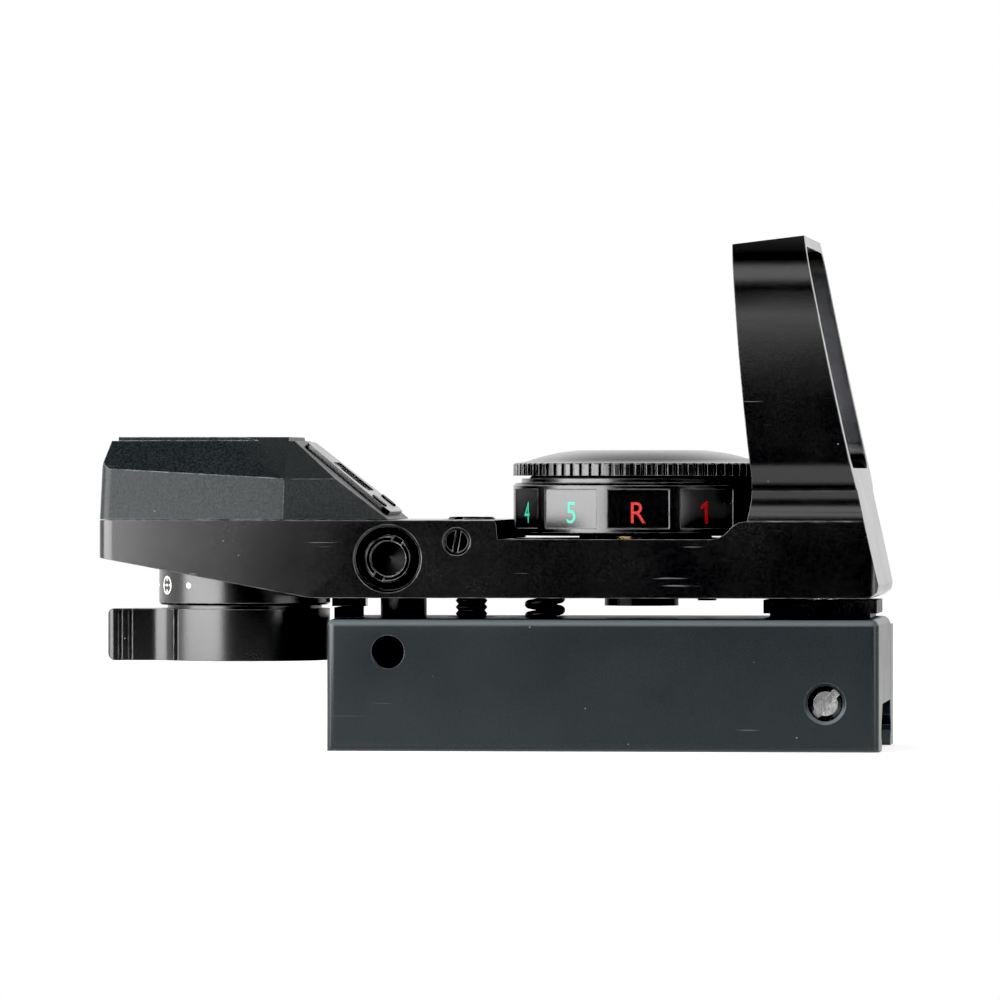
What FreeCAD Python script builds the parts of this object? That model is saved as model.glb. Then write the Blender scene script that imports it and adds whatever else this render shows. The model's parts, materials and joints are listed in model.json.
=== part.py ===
import FreeCAD, Part
import math
import os

# A red dot finder: an open reflex sight on an adjustable rail mount, in millimetres.
# +X is the way the user looks, +Y is the user's left, +Z is up.
# The origin lies on the rail seat, on the rail's centreline, midway along the base.

V = FreeCAD.Vector

# ---------------------------------------------------------------- driving dimensions
# Rail and base
RAIL_TOP_HALF = 15.67 / 2
RAIL_HALF = 21.2 / 2
RAIL_LIP_HALF = 9.0
RAIL_SLOT_PITCH = 10.01
BASE_HALF_LEN = 29.5
BASE_HALF_WIDTH = 16.0
BASE_FAR_FACE = 9.2
BASE_TOP = 9.15
BASE_BOTTOM = -5.0
JAW_GAP = 0.3
JAW_TOP = 8.2
STOP_PAD_TOP = 10.3
STOP_PLATE_LOW = 10.15
STOP_PLATE_REAR_X = -31.2
STOP_PLATE_FRONT_X = -27.5
STOP_PAD_FRONT_X = -26.8

# Clamp screws: one crosses each of two rail slots
CLAMP_X = 23.8
CLAMP_REAR_X = CLAMP_X - 4 * RAIL_SLOT_PITCH
CLAMP_Z = 0.17
CLAMP_R = 1.75
CLAMP_HEAD_R = 3.3
CLAMP_HEAD_LEN = 3.6

# Adjustment pivot
PIVOT_X = 22.7
PIVOT_Z = 6.0
PIVOT_PIN_R = 1.0
YAW_PIN_R = 1.6

# Windage and elevation
WINDAGE_X = -22.9
WINDAGE_Z = 15.55
POST_R = 2.5
ELEVATION_X = -15.5
ADJUSTER_HEAD_R = 2.55
ADJUSTER_SHANK_R = 1.75
PUSHER_BORE_R = 1.05
NUT_LOW = 3.35
NUT_HIGH = 7.05
NUT_HALF = 3.0
ELEVATION_THREAD_R = 1.75
LOCK_Z = 17.4
LOCK_R = 1.2
LIFT_SPRING_X = -7.5

# Sight head
HEAD_HALF_WIDTH = 16.3
HEAD_BOTTOM = 11.35
DECK_Z = 19.65
DIAL_DECK_Z = 17.65
HEAD_REAR_X = -54.45
REAR_CORNER_R = 1.6
REAR_HALF_WIDTH = 13.8
TAPER_START_X = -31.5
SLOPE_END_X = -31.2
SLOPE_REAR_Z = 15.6
FRONT_FOOT_X = 29.45
FRONT_SILL_X = 26.95

# Hood and lens
HOOD_ROOT_Z = 19.55
HOOD_BAND_Z = 24.2
HOOD_TOP_Z = 49.95
HOOD_HALF_WIDTH = 19.0
WINDOW_HALF_WIDTH = 16.4
WINDOW_LOW = 25.2
WINDOW_HIGH = 48.8
WINDOW_CORNER_R = 2.6
LENS_RADIUS = 120.0
LENS_THICKNESS = 1.7
LENS_RECESS = 1.3
GASKET_WIDTH = 0.45

# Brightness dial
DIAL_X = 3.0
DIAL_R = 13.9
DIAL_BOTTOM = 17.95
DIAL_TOP = 24.1
DIAL_POSITIONS = 11
DIAL_PHASE = 3.0
CAP_RING_Z = 24.4
CAP_EDGE_Z = 25.75
CAP_TOP_Z = 27.15
CAP_FLAT_R = 6.8
KNURL_TEETH = 76
CELL_R = 10.0
CELL_THICKNESS = 3.2
CELL_FLOOR = 19.35
CAP_THREAD_R = 11.4
SCOOP_R = 14.35

# Reticle selector
SELECTOR_X = -40.3
SELECTOR_R = 9.3
SELECTOR_BOTTOM = 4.4
SELECTOR_TOP = 10.0
COLLAR_BOTTOM = 10.4
SEAL_RING_R = 8.4
SEAL_RING_LOW = 9.7
PADDLE_REACH = 14.85
PADDLE_ANGLE = 8.7
RETICLE_STEP = 24.0
RETICLE_DRUM_R = 7.0

# Rear cover
COVER_TOP = 28.15
PANEL_RISE = 0.42
COVER_WALL = 1.5
COVER_CREASE_REAR = 25.2
COVER_CREASE_FRONT = 24.1
UPPER_LEAN = 1.1
CORNER_START_X = -34.2
FACE_TOP_X = -33.95
FACE_FOOT_X = -23.4
FACE_TOP_HALF = 7.2
FACE_FOOT_HALF = 10.3
APERTURE_REAR_X = -30.0
APERTURE_FRONT_X = -27.4
BEZEL_THICK = 0.5
BEZEL_RECESS = 0.22
POCKET_FLOOR = 16.6

RUNNING = 0.05
BIG = 200.0


# ---------------------------------------------------------------- small helpers
def box(x0, x1, y0, y1, z0, z1):
    return Part.makeBox(x1 - x0, y1 - y0, z1 - z0, V(x0, y0, z0))


def rod_z(x, y, z0, z1, r):
    return Part.makeCylinder(r, z1 - z0, V(x, y, z0), V(0, 0, 1))


def rod_y(x, z, y0, y1, r):
    return Part.makeCylinder(r, y1 - y0, V(x, y0, z), V(0, 1, 0))


def prism_xz(points, half_width):
    """A side outline of (x, z) points, extruded across the whole width."""
    wire = Part.makePolygon([V(x, -half_width, z) for x, z in points + points[:1]])
    return Part.Face(wire).extrude(V(0, 2 * half_width, 0))


def prism_xy(points, z0, z1):
    wire = Part.makePolygon([V(x, y, z0) for x, y in points + points[:1]])
    return Part.Face(wire).extrude(V(0, 0, z1 - z0))


def cut_by_planes(shape, planes, inset=0.0):
    """Keeps what lies inside every plane (point, outward normal), each moved in by inset."""
    for point, normal in planes:
        out = V(*normal).normalize()
        start = V(*point) - out * inset
        block = Part.makeBox(BIG, BIG, BIG, V(-BIG / 2, -BIG / 2, 0))
        block.Placement = FreeCAD.Placement(start, FreeCAD.Rotation(V(0, 0, 1), out))
        shape = shape.cut(block)
    return shape


def edges_where(shape, test):
    return [e for e in shape.Edges if test(e)]


def vertical(edge):
    a, b = edge.Vertexes[0].Point, edge.Vertexes[-1].Point
    return len(edge.Vertexes) == 2 and (a - b).Length > 0.5 and abs((a - b).normalize().z) > 0.9


def revolve_z(x, y, points):
    """A closed outline of (radius, z) points turned about a vertical axis."""
    wire = Part.makePolygon([V(x + r, y, z) for r, z in points + points[:1]])
    return Part.Face(wire).revolve(V(x, y, 0), V(0, 0, 1), 360)


def revolve_y(x, z, points):
    """A closed outline of (radius, y) points turned about an axis along Y."""
    wire = Part.makePolygon([V(x + r, y, z) for r, y in points + points[:1]])
    return Part.Face(wire).revolve(V(x, 0, z), V(0, 1, 0), 360)


def coil(radius, wire_r, pitch, height):
    """A helical spring standing on the origin, with its axis along Z."""
    path = Part.makeHelix(pitch, height, radius)
    ring = Part.Wire(Part.makeCircle(wire_r, V(radius, 0, 0), V(0, 1, 0)))
    return Part.Wire(path).makePipeShell([ring], True, True)


def thread_teeth(r_out, depth, pitch, low, high):
    """The (radius, position) zigzag of a threaded stretch, from low to high."""
    count = int((high - low) / pitch)
    teeth = []
    for i in range(count):
        start = low + i * pitch
        teeth += [(r_out - depth, start), (r_out, start + pitch * 0.5)]
    return teeth + [(r_out - depth, low + count * pitch)]


# ---------------------------------------------------------------- the rail mount
def base_block():
    """The fixed half of the rail clamp, which also carries the adjustment pivot."""
    section = [
        (-BASE_HALF_WIDTH, BASE_BOTTOM),
        (-RAIL_LIP_HALF - 0.4, BASE_BOTTOM),
        (-RAIL_LIP_HALF, BASE_BOTTOM + 0.4),
        (-RAIL_HALF, -3.4),
        (-RAIL_HALF, -2.77),
        (-RAIL_TOP_HALF, 0.0),
        (BASE_FAR_FACE, 0.0),
        (BASE_FAR_FACE, BASE_TOP),
        (-BASE_HALF_WIDTH, BASE_TOP),
    ]
    wire = Part.makePolygon([V(-BASE_HALF_LEN, y, z) for y, z in section + section[:1]])
    block = Part.Face(wire).extrude(V(2 * BASE_HALF_LEN, 0, 0))
    near = -BASE_HALF_WIDTH + 0.01
    outside = edges_where(
        block,
        lambda e: all(v.Point.y < near for v in e.Vertexes)
        or (all(v.Point.z > BASE_TOP - 0.01 for v in e.Vertexes)),
    )
    block = block.makeFillet(0.9, outside)
    # A stop pad beside the head's own stop plate
    pad_rear_x = -BASE_HALF_LEN + 0.4
    block = block.fuse(box(pad_rear_x, STOP_PAD_FRONT_X, -12.0, -4.0, BASE_TOP - 1, STOP_PAD_TOP))
    for x, reach in ((CLAMP_X, -BASE_HALF_WIDTH - 1), (CLAMP_REAR_X, -BASE_HALF_WIDTH + 2.4)):
        block = block.cut(rod_y(x, CLAMP_Z, reach, BASE_FAR_FACE + 1, CLAMP_R + 0.12))
    mouth = Part.makeCone(1.87, 2.2, 0.33, V(CLAMP_X, -BASE_HALF_WIDTH + 0.33, CLAMP_Z), V(0, -1, 0))
    block = block.cut(mouth)
    # The pin hole under the windage post, open on the near side only
    block = block.cut(rod_y(WINDAGE_X, 5.6, -BASE_HALF_WIDTH - 1, 6.5, 1.75))
    block = block.cut(rod_z(WINDAGE_X, 0, 2.4, BASE_TOP + 1, POST_R))
    # Clearance for the elevation thread, a seat for the lift spring, the pivot pocket
    block = block.cut(rod_z(ELEVATION_X, 0, NUT_LOW, BASE_TOP + 1, ELEVATION_THREAD_R + 0.85))
    block = block.cut(nut_slot())
    block = block.cut(rod_z(LIFT_SPRING_X, 0, 5.6, BASE_TOP + 1, 2.6))
    block = block.cut(box(PIVOT_X - 5.8, PIVOT_X + 5.8, -6.4, 6.4, 3.0, BASE_TOP + 1))
    return block.cut(rod_y(PIVOT_X, PIVOT_Z, -10.0, BASE_FAR_FACE + 1, PIVOT_PIN_R))


def nut_slot():
    """The cross slot for the elevation nut, open on the far side, behind the jaw."""
    half, gap = NUT_HALF + 0.08, RUNNING
    x0, x1 = ELEVATION_X - half, ELEVATION_X + half
    return box(x0, x1, -3.9, BASE_FAR_FACE + 1, NUT_LOW - gap, NUT_HIGH + gap)


def elevation_nut():
    """A block nut that slides across the base as the sight head swings sideways."""
    nut = box(ELEVATION_X - NUT_HALF, ELEVATION_X + NUT_HALF, -3.0, 3.0, NUT_LOW, NUT_HIGH)
    return nut.cut(rod_z(ELEVATION_X, 0, 0, 10, ELEVATION_THREAD_R + 0.1))


def windage_post():
    """A round post that stands in the base and reaches up into the sight head."""
    post = rod_z(WINDAGE_X, 0, 2.4, 17.3, POST_R)
    post = post.fuse(rod_z(WINDAGE_X, 0, 17.0, 17.5, POST_R - 0.3)).removeSplitter()
    return post.cut(rod_y(WINDAGE_X, 5.6, -4, 4, 1.0))


def post_pin():
    return rod_y(WINDAGE_X, 5.6, -4.2, 4.2, 1.0)


def pin_sleeves():
    """Two bushes that hold the post pin in its wider drilled hole."""
    sleeves = []
    for y0, y1 in ((-4.2, -POST_R - 0.05), (POST_R + 0.05, 4.2)):
        sleeves.append(rod_y(WINDAGE_X, 5.6, y0, y1, 1.75).cut(rod_y(WINDAGE_X, 5.6, y0, y1, 1.0)))
    return Part.makeCompound(sleeves)


def pivot_pin():
    return rod_y(PIVOT_X, PIVOT_Z, -9.8, BASE_FAR_FACE - 0.2, PIVOT_PIN_R)


def lift_spring():
    """The compression spring that pushes the sight head up against the elevation screw."""
    wire_r = 0.45
    spring = coil(1.75, wire_r, 1.25, 13.3 - 5.6 - 2 * wire_r - 0.04)
    spring.translate(V(LIFT_SPRING_X, 0, 5.6 + wire_r + 0.02))
    return spring


def rail_jaw():
    """The sliding jaw, a plate along the far side with the second rail lip."""
    face = BASE_FAR_FACE + JAW_GAP
    low_z = -(face - RAIL_TOP_HALF)
    section = [
        (BASE_HALF_WIDTH, BASE_BOTTOM),
        (RAIL_LIP_HALF + 0.4, BASE_BOTTOM),
        (RAIL_LIP_HALF, BASE_BOTTOM + 0.4),
        (RAIL_HALF, -3.4),
        (RAIL_HALF, -2.77),
        (face, low_z),
        (face, JAW_TOP),
        (BASE_HALF_WIDTH, JAW_TOP),
    ]
    wire = Part.makePolygon([V(-BASE_HALF_LEN, y, z) for y, z in section + section[:1]])
    jaw = Part.Face(wire).extrude(V(2 * BASE_HALF_LEN, 0, 0))
    far = BASE_HALF_WIDTH - 0.01
    jaw = jaw.makeFillet(0.8, edges_where(jaw, lambda e: all(v.Point.y > far for v in e.Vertexes)))
    for x in (CLAMP_X, CLAMP_REAR_X):
        jaw = jaw.cut(rod_y(x, CLAMP_Z, 0, BASE_HALF_WIDTH + 1, CLAMP_R + RUNNING))
        seat = BASE_HALF_WIDTH - CLAMP_HEAD_LEN - 0.2
        jaw = jaw.cut(rod_y(x, CLAMP_Z, seat, BASE_HALF_WIDTH + 1, CLAMP_HEAD_R + 0.2))
    return jaw


def hex_prism_y(x, z, y0, y1, across_flats):
    radius = across_flats / math.sqrt(3)
    corners = [
        V(x + radius * math.cos(math.radians(60 * i)), y0, z + radius * math.sin(math.radians(60 * i)))
        for i in range(6)
    ]
    return Part.Face(Part.makePolygon(corners + corners[:1])).extrude(V(0, y1 - y0, 0))


def clamp_screw(x, tip_y, slot_angle):
    """A socket head screw; its tip is slotted, so that it can also be turned from the near side."""
    top = BASE_HALF_WIDTH - 0.15
    under = top - CLAMP_HEAD_LEN
    outline = [
        (0, tip_y),
        (CLAMP_R - 0.45, tip_y),
        (CLAMP_R, tip_y + 0.4),
        (CLAMP_R, under),
        (CLAMP_HEAD_R, under),
        (CLAMP_HEAD_R, top - 0.35),
        (CLAMP_HEAD_R - 0.35, top),
        (0, top),
    ]
    screw = revolve_y(x, CLAMP_Z, outline)
    screw = screw.cut(hex_prism_y(x, CLAMP_Z, top - 2.0, top + 1, 3.0))
    slot = box(-4, 4, tip_y - 1, tip_y + 0.8, -0.45, 0.45)
    slot.rotate(V(0, 0, 0), V(0, 1, 0), -slot_angle)
    slot.translate(V(x, 0, CLAMP_Z))
    return screw.cut(slot)


# ---------------------------------------------------------------- the adjustment pivot
def pivot_block():
    """Tilts on the pivot pin in the base and carries the head on the upright yaw pin."""
    low = box(PIVOT_X - 5.4, PIVOT_X + 5.4, -6, 6, 3.5, 9.6)
    high = box(PIVOT_X - 6.1, PIVOT_X + 6.1, -6, 6, 9.6, 11.05)
    block = low.fuse(high).removeSplitter()
    block = block.cut(rod_y(PIVOT_X, PIVOT_Z, -7, 7, PIVOT_PIN_R + RUNNING))
    block = block.cut(rod_z(PIVOT_X, 0, 3, 8.6, 2.75))
    return block.cut(rod_z(PIVOT_X, 0, 3, 12, YAW_PIN_R + RUNNING))


def yaw_pin():
    pin = rod_z(PIVOT_X, 0, 7.4, 11.3, YAW_PIN_R).fuse(rod_z(PIVOT_X, 0, 7.4, 8.55, 2.55))
    pin = pin.fuse(rod_z(PIVOT_X, 0, 11.3, 16.3, 1.25)).removeSplitter()
    return pin.cut(box(PIVOT_X - 3, PIVOT_X + 3, -0.35, 0.35, 7, 7.7))


def slotted_head(head_low, head_high, hole_depth):
    """The radius and height outline of an adjuster's head, with its round well."""
    r = ADJUSTER_HEAD_R
    return [
        (r, head_low),
        (r, head_high - 0.2),
        (r - 0.2, head_high),
        (1.9, head_high),
        (1.9, head_high - hole_depth),
        (0, head_high - hole_depth - 0.4),
    ]


def elevation_screw():
    """Its head rests on the sight head, and its thread runs down into the base."""
    neck_low, head_low, head_high = 12.3, 18.15, 19.95
    teeth = thread_teeth(ELEVATION_THREAD_R, 0.3, 0.7, 4.2, neck_low)
    outline = [(0, 4.2)] + teeth + [(ADJUSTER_SHANK_R, neck_low), (ADJUSTER_SHANK_R, head_low)]
    screw = revolve_z(ELEVATION_X, 0, outline + slotted_head(head_low, head_high, 0.5))
    slot = box(-4, 4, -0.5, 0.5, head_high - 0.75, head_high + 1)
    slot.rotate(V(0, 0, 0), V(0, 0, 1), 62)
    slot.translate(V(ELEVATION_X, 0, 0))
    return screw.cut(slot)


def windage_screw():
    """Turns in the head's near wall; its thinner end drives the pusher."""
    head_face, head_back, tip = 15.8, 14.3, 5.0
    outline = [(PUSHER_BORE_R - RUNNING, 10.0), (ADJUSTER_SHANK_R, 10.0), (ADJUSTER_SHANK_R, head_back)]
    outline = [(0, tip), (PUSHER_BORE_R - RUNNING, tip)] + outline
    outline += slotted_head(head_back, head_face, 0.9)
    screw = revolve_y(WINDAGE_X, WINDAGE_Z, [(r, -y) for r, y in outline])
    slot = box(-4, 4, -head_face - 1, -head_face + 0.7, -0.55, 0.55)
    slot.rotate(V(0, 0, 0), V(0, 1, 0), -62.5)
    slot.translate(V(WINDAGE_X, 0, WINDAGE_Z))
    return screw.cut(slot)


def windage_pusher():
    """A threaded sleeve on the windage screw; its tip bears on the post."""
    tip = POST_R + 0.06
    sleeve = rod_y(WINDAGE_X, WINDAGE_Z, -9.0, -tip - 0.4, ADJUSTER_SHANK_R)
    nose = Part.makeCone(ADJUSTER_SHANK_R, 1.2, 0.4, V(WINDAGE_X, -tip - 0.4, WINDAGE_Z), V(0, 1, 0))
    sleeve = sleeve.fuse(nose).removeSplitter()
    return sleeve.cut(rod_y(WINDAGE_X, WINDAGE_Z, -9.5, -4.0, PUSHER_BORE_R))


def windage_plunger():
    tip = POST_R + 0.06
    rod = rod_y(WINDAGE_X, WINDAGE_Z, tip + 0.4, 7.5, ADJUSTER_SHANK_R)
    nose = Part.makeCone(1.2, ADJUSTER_SHANK_R, 0.4, V(WINDAGE_X, tip, WINDAGE_Z), V(0, 1, 0))
    return rod.fuse(nose).removeSplitter()


def plunger_spring():
    spring = coil(1.15, 0.22, 0.85, 4.2)
    spring.rotate(V(0, 0, 0), V(1, 0, 0), -90)
    spring.translate(V(WINDAGE_X, 7.85, WINDAGE_Z))
    return spring


def plunger_plug():
    plug = rod_y(WINDAGE_X, WINDAGE_Z, 12.6, 15.6, 2.2)
    return plug.cut(box(WINDAGE_X - 3, WINDAGE_X + 3, 14.9, 16, WINDAGE_Z - 0.35, WINDAGE_Z + 0.35))


def lock_screw():
    """A slotted grub screw that locks the elevation setting."""
    screw = rod_y(ELEVATION_X, LOCK_Z, -15.9, -9.5, LOCK_R)
    slot = box(-2, 2, -17, -15.2, -0.25, 0.25)
    slot.rotate(V(0, 0, 0), V(0, 1, 0), -80)
    slot.translate(V(ELEVATION_X, 0, LOCK_Z))
    return screw.cut(slot)


def lock_slug():
    """The soft slug that the lock screw presses on the elevation screw's shank."""
    slug = rod_y(ELEVATION_X, LOCK_Z, -9.2, -3.6, LOCK_R - 0.1)
    return slug.fuse(rod_y(ELEVATION_X, LOCK_Z, -3.7, -2.1, 0.6)).removeSplitter()


# ---------------------------------------------------------------- the sight head
def lower_housing():
    """The long casting under the cover, dial and hood, before its holes are cut."""
    outline = [
        (HEAD_REAR_X, SLOPE_REAR_Z),
        (SLOPE_END_X, HEAD_BOTTOM),
        (28.5, HEAD_BOTTOM),
        (FRONT_FOOT_X - 0.15, HEAD_BOTTOM + 0.65),
        (FRONT_FOOT_X, HEAD_BOTTOM + 1.4),
        (27.95, HOOD_ROOT_Z),
        (15.2, HOOD_ROOT_Z),
        (14.6, HOOD_ROOT_Z - 0.12),
        (13.9, HOOD_ROOT_Z - 0.55),
        (13.2, DIAL_DECK_Z + 0.6),
        (12.5, DIAL_DECK_Z + 0.15),
        (11.7, DIAL_DECK_Z),
        (-11.1, DIAL_DECK_Z),
        (-11.25, DECK_Z - 0.25),
        (-11.5, DECK_Z),
        (HEAD_REAR_X, DECK_Z),
    ]
    body = prism_xz(outline, HEAD_HALF_WIDTH + 1)
    return body.common(prism_xy(plan_outline(), HEAD_BOTTOM - 1, DECK_Z + 1))


def plan_outline():
    """The casting seen from above: tapered to the rear, with rounded corners."""
    rear, front, wide, r = HEAD_REAR_X, FRONT_FOOT_X, HEAD_HALF_WIDTH, REAR_CORNER_R
    side = []
    for degrees in (0, 15, 30, 45, 60, 75, 90):
        angle = math.radians(degrees)
        x = rear + r * (1 - math.cos(angle))
        side.append((x, REAR_HALF_WIDTH - r + r * math.sin(angle)))
    side += [(TAPER_START_X, wide), (front - 1.1, wide)]
    side += [(front - 0.75, wide - 0.1), (front - 0.35, wide - 0.35), (front, wide - 1.0)]
    return side + [(x, -y) for x, y in reversed(side)]


def hood_side_outline():
    """The hood seen from the side: it leans back and both its edges are curved."""
    rear = Part.Arc(V(16.15, 0, HOOD_BAND_Z), V(14.85, 0, 36.5), V(13.93, 0, 49.0)).toShape()
    top = Part.makeLine(V(13.93, 0, 49.0), V(21.5, 0, HOOD_TOP_Z))
    front = Part.Arc(V(21.5, 0, HOOD_TOP_Z), V(24.2, 0, 36.5), V(FRONT_SILL_X, 0, HOOD_BAND_Z)).toShape()
    foot = Part.makeLine(V(FRONT_SILL_X, 0, HOOD_BAND_Z), V(28.15, 0, HOOD_ROOT_Z - 1))
    floor = Part.makeLine(V(28.15, 0, HOOD_ROOT_Z - 1), V(15.3, 0, HOOD_ROOT_Z - 1))
    heel = Part.makeLine(V(15.3, 0, HOOD_ROOT_Z - 1), V(15.9, 0, 21.6))
    neck = Part.makeLine(V(15.9, 0, 21.6), V(16.15, 0, HOOD_BAND_Z))
    return Part.Wire([rear, top, front, foot, floor, heel, neck])


def mirrored_outline(x, half):
    """A closed wire in the YZ plane from edges given for the +Y side, from low to high."""
    other = [e.mirror(V(0, 0, 0), V(0, 1, 0)) for e in half]
    low, high = half[0].Vertexes[0].Point, half[-1].Vertexes[-1].Point
    closing = []
    for point in (low, high):
        if abs(point.y) > 1e-6:
            closing.append(Part.makeLine(point, V(point.x, -point.y, point.z)))
    wire = Part.Wire(Part.__sortEdges__(half + other + closing))
    wire.translate(V(x, 0, 0))
    return wire


def hood_front_outline():
    """The outside of the hood seen from the front, with the cove around its root."""
    root, wide = HEAD_HALF_WIDTH, HOOD_HALF_WIDTH
    half = [
        Part.makeLine(V(0, 0, HOOD_ROOT_Z - 1), V(0, root - 0.2, HOOD_ROOT_Z - 1)),
        Part.makeLine(V(0, root - 0.2, HOOD_ROOT_Z - 1), V(0, root - 0.2, 20.2)),
        Part.Arc(V(0, root - 0.2, 20.2), V(0, root - 0.5, 21.8), V(0, root - 0.2, 22.8)).toShape(),
        Part.Arc(V(0, root - 0.2, 22.8), V(0, root + 1.7, 23.8), V(0, wide - 0.1, 26.0)).toShape(),
        Part.Arc(V(0, wide - 0.1, 26.0), V(0, wide - 0.12, 34.0), V(0, wide - 1.15, 43.8)).toShape(),
        Part.Arc(V(0, wide - 1.15, 43.8), V(0, wide - 1.9, 47.5), V(0, 14.9, HOOD_TOP_Z)).toShape(),
        Part.makeLine(V(0, 14.9, HOOD_TOP_Z), V(0, 13.0, HOOD_TOP_Z + 0.1)),
    ]
    return mirrored_outline(0, half)


def window_outline(inset):
    """The window through the hood, a rectangle with round corners, made smaller by inset."""
    w = WINDOW_HALF_WIDTH - inset
    low, high = WINDOW_LOW + inset, WINDOW_HIGH - inset
    low_r, high_r = 2.6 - inset, WINDOW_CORNER_R - inset
    k = 1 - math.sqrt(0.5)
    half = [
        Part.makeLine(V(0, 0, low), V(0, w - low_r, low)),
        Part.Arc(V(0, w - low_r, low), V(0, w - low_r * k, low + low_r * k), V(0, w, low + low_r)).toShape(),
        Part.makeLine(V(0, w, low + low_r), V(0, w - 0.6, high - high_r)),
        Part.Arc(
            V(0, w - 0.6, high - high_r),
            V(0, w - 0.6 - high_r * k, high - high_r * k),
            V(0, w - 0.6 - high_r, high),
        ).toShape(),
        Part.makeLine(V(0, w - 0.6 - high_r, high), V(0, 0, high)),
    ]
    return mirrored_outline(0, half)


def bar_through_window(inset):
    bar = Part.Face(window_outline(inset)).extrude(V(25, 0, 0))
    bar.translate(V(8, 0, 0))
    return bar


def lens_ball(behind):
    """A large ball whose front cap is a lens surface, tilted to aim at the emitter."""
    tilt = math.radians(10.5)
    centre_x = 24.2 - behind
    middle_z = (WINDOW_LOW + WINDOW_HIGH) / 2
    centre = V(centre_x - LENS_RADIUS * math.cos(tilt), 0, middle_z - LENS_RADIUS * math.sin(tilt))
    return Part.makeSphere(LENS_RADIUS, centre)


def lens_layer(front_depth, back_depth, inset):
    """What of the window's bar lies between two lens surfaces."""
    return bar_through_window(inset).common(lens_ball(front_depth)).cut(lens_ball(back_depth))


def lens_front():
    return lens_layer(LENS_RECESS, LENS_RECESS + LENS_THICKNESS, GASKET_WIDTH)


def lens_rear():
    depth = LENS_RECESS + LENS_THICKNESS
    return lens_layer(depth, depth + LENS_THICKNESS, GASKET_WIDTH)


def lens_gasket():
    depth = LENS_RECESS + 2 * LENS_THICKNESS
    ring = lens_layer(LENS_RECESS, depth, 0)
    return ring.cut(bar_through_window(GASKET_WIDTH))


def hood():
    side = Part.Face(hood_side_outline())
    side.translate(V(0, -30, 0))
    shape = side.extrude(V(0, 60, 0))
    bar = Part.Face(hood_front_outline()).extrude(V(30, 0, 0))
    bar.translate(V(8, 0, 0))
    shape = shape.common(bar)
    # The window is full size down to the back of the lens, then steps in behind it
    shape = shape.cut(bar_through_window(0).cut(lens_ball(LENS_RECESS + 2 * LENS_THICKNESS)))
    return shape.cut(bar_through_window(1.2))


def screw_places():
    return [(-49.9, 10.4), (-49.9, -10.4), (-36.2, 13.0), (-36.2, -13.0)]


def main_housing():
    """The one casting that holds the emitter, the dial, the adjusters and the lens."""
    stop_plate = box(STOP_PLATE_REAR_X, STOP_PLATE_FRONT_X, 4.0, 6.0, STOP_PLATE_LOW, HEAD_BOTTOM + 2)
    body = lower_housing().multiFuse([hood(), stop_plate]).removeSplitter()
    body = body.cut(rod_z(DIAL_X, 0, DIAL_DECK_Z, 31, SCOOP_R))
    # Emitter pocket, with the hole for the selector collar in its floor
    body = body.cut(box(-47.6, -29.4, -10.9, 10.9, POCKET_FLOOR, DECK_Z + 1))
    body = body.cut(rod_z(SELECTOR_X, 0, 8, POCKET_FLOOR + 1, 7.0))
    for x, y in screw_places():
        body = body.cut(rod_z(x, y, 8, DECK_Z + 1, 1.05))
        body = body.cut(rod_z(x, y, 8, 16.6, 1.95))
    # Windage: room for the post, the screw and its wide counterbore, the plunger
    body = body.cut(box(WINDAGE_X - 2.8, WINDAGE_X + 2.8, -3.4, 3.4, HEAD_BOTTOM - 1, 18.5))
    body = body.cut(rod_y(WINDAGE_X, WINDAGE_Z, -HEAD_HALF_WIDTH - 1, 12.6, ADJUSTER_SHANK_R + RUNNING))
    body = body.cut(rod_y(WINDAGE_X, WINDAGE_Z, -HEAD_HALF_WIDTH - 1, -13.8, 3.4))
    rim = Part.makeCone(3.4, 3.65, 0.25, V(WINDAGE_X, -HEAD_HALF_WIDTH + 0.25, WINDAGE_Z), V(0, -1, 0))
    body = body.cut(rim)
    body = body.cut(rod_y(WINDAGE_X, WINDAGE_Z, 12.6, HEAD_HALF_WIDTH + 1, 2.2))
    # Elevation: counterbore, clearance hole and the lock screw's hole from the near side
    body = body.cut(rod_z(ELEVATION_X, 0, 18.1, DECK_Z + 1, 3.25))
    body = body.cut(rod_z(ELEVATION_X, 0, HEAD_BOTTOM - 1, 19, ELEVATION_THREAD_R + RUNNING))
    body = body.cut(rod_y(ELEVATION_X, LOCK_Z, -HEAD_HALF_WIDTH - 1, 0, LOCK_R + RUNNING))
    rim = Part.makeCone(1.25, 1.5, 0.25, V(ELEVATION_X, -HEAD_HALF_WIDTH + 0.25, LOCK_Z), V(0, -1, 0))
    body = body.cut(rim)
    # Seat for the lift spring, thread for the yaw pin
    body = body.cut(rod_z(LIFT_SPRING_X, 0, HEAD_BOTTOM - 1, 13.3, 2.6))
    body = body.cut(rod_z(PIVOT_X, 0, HEAD_BOTTOM - 1, 16.4, 1.25))
    # Under the dial: the switch board's recess, the spindle hole and the detent's hole
    body = body.cut(rod_z(DIAL_X, 0, 16.3, DIAL_DECK_Z + 1, 9.6))
    body = body.cut(rod_z(DIAL_X, 0, HEAD_BOTTOM - 1, 17, 2.0 + RUNNING))
    x, y = detent_place()
    body = body.cut(rod_z(x, y, HEAD_BOTTOM - 1, DIAL_DECK_Z + 1, 1.05))
    # Wire way from the switch board to the emitter pocket
    body = body.cut(box(-3.0, DIAL_X, 7.6, 10.8, 16.0, DIAL_DECK_Z + 1))
    body = body.cut(box(-16.4, -2.0, 7.6, 10.8, 16.0, 17.0))
    body = body.cut(box(-16.4, -12.4, 7.6, 10.8, 16.5, 18.8))
    return body.cut(box(-30, -16.0, 7.6, 10.8, 17.55, 18.8))


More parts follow.
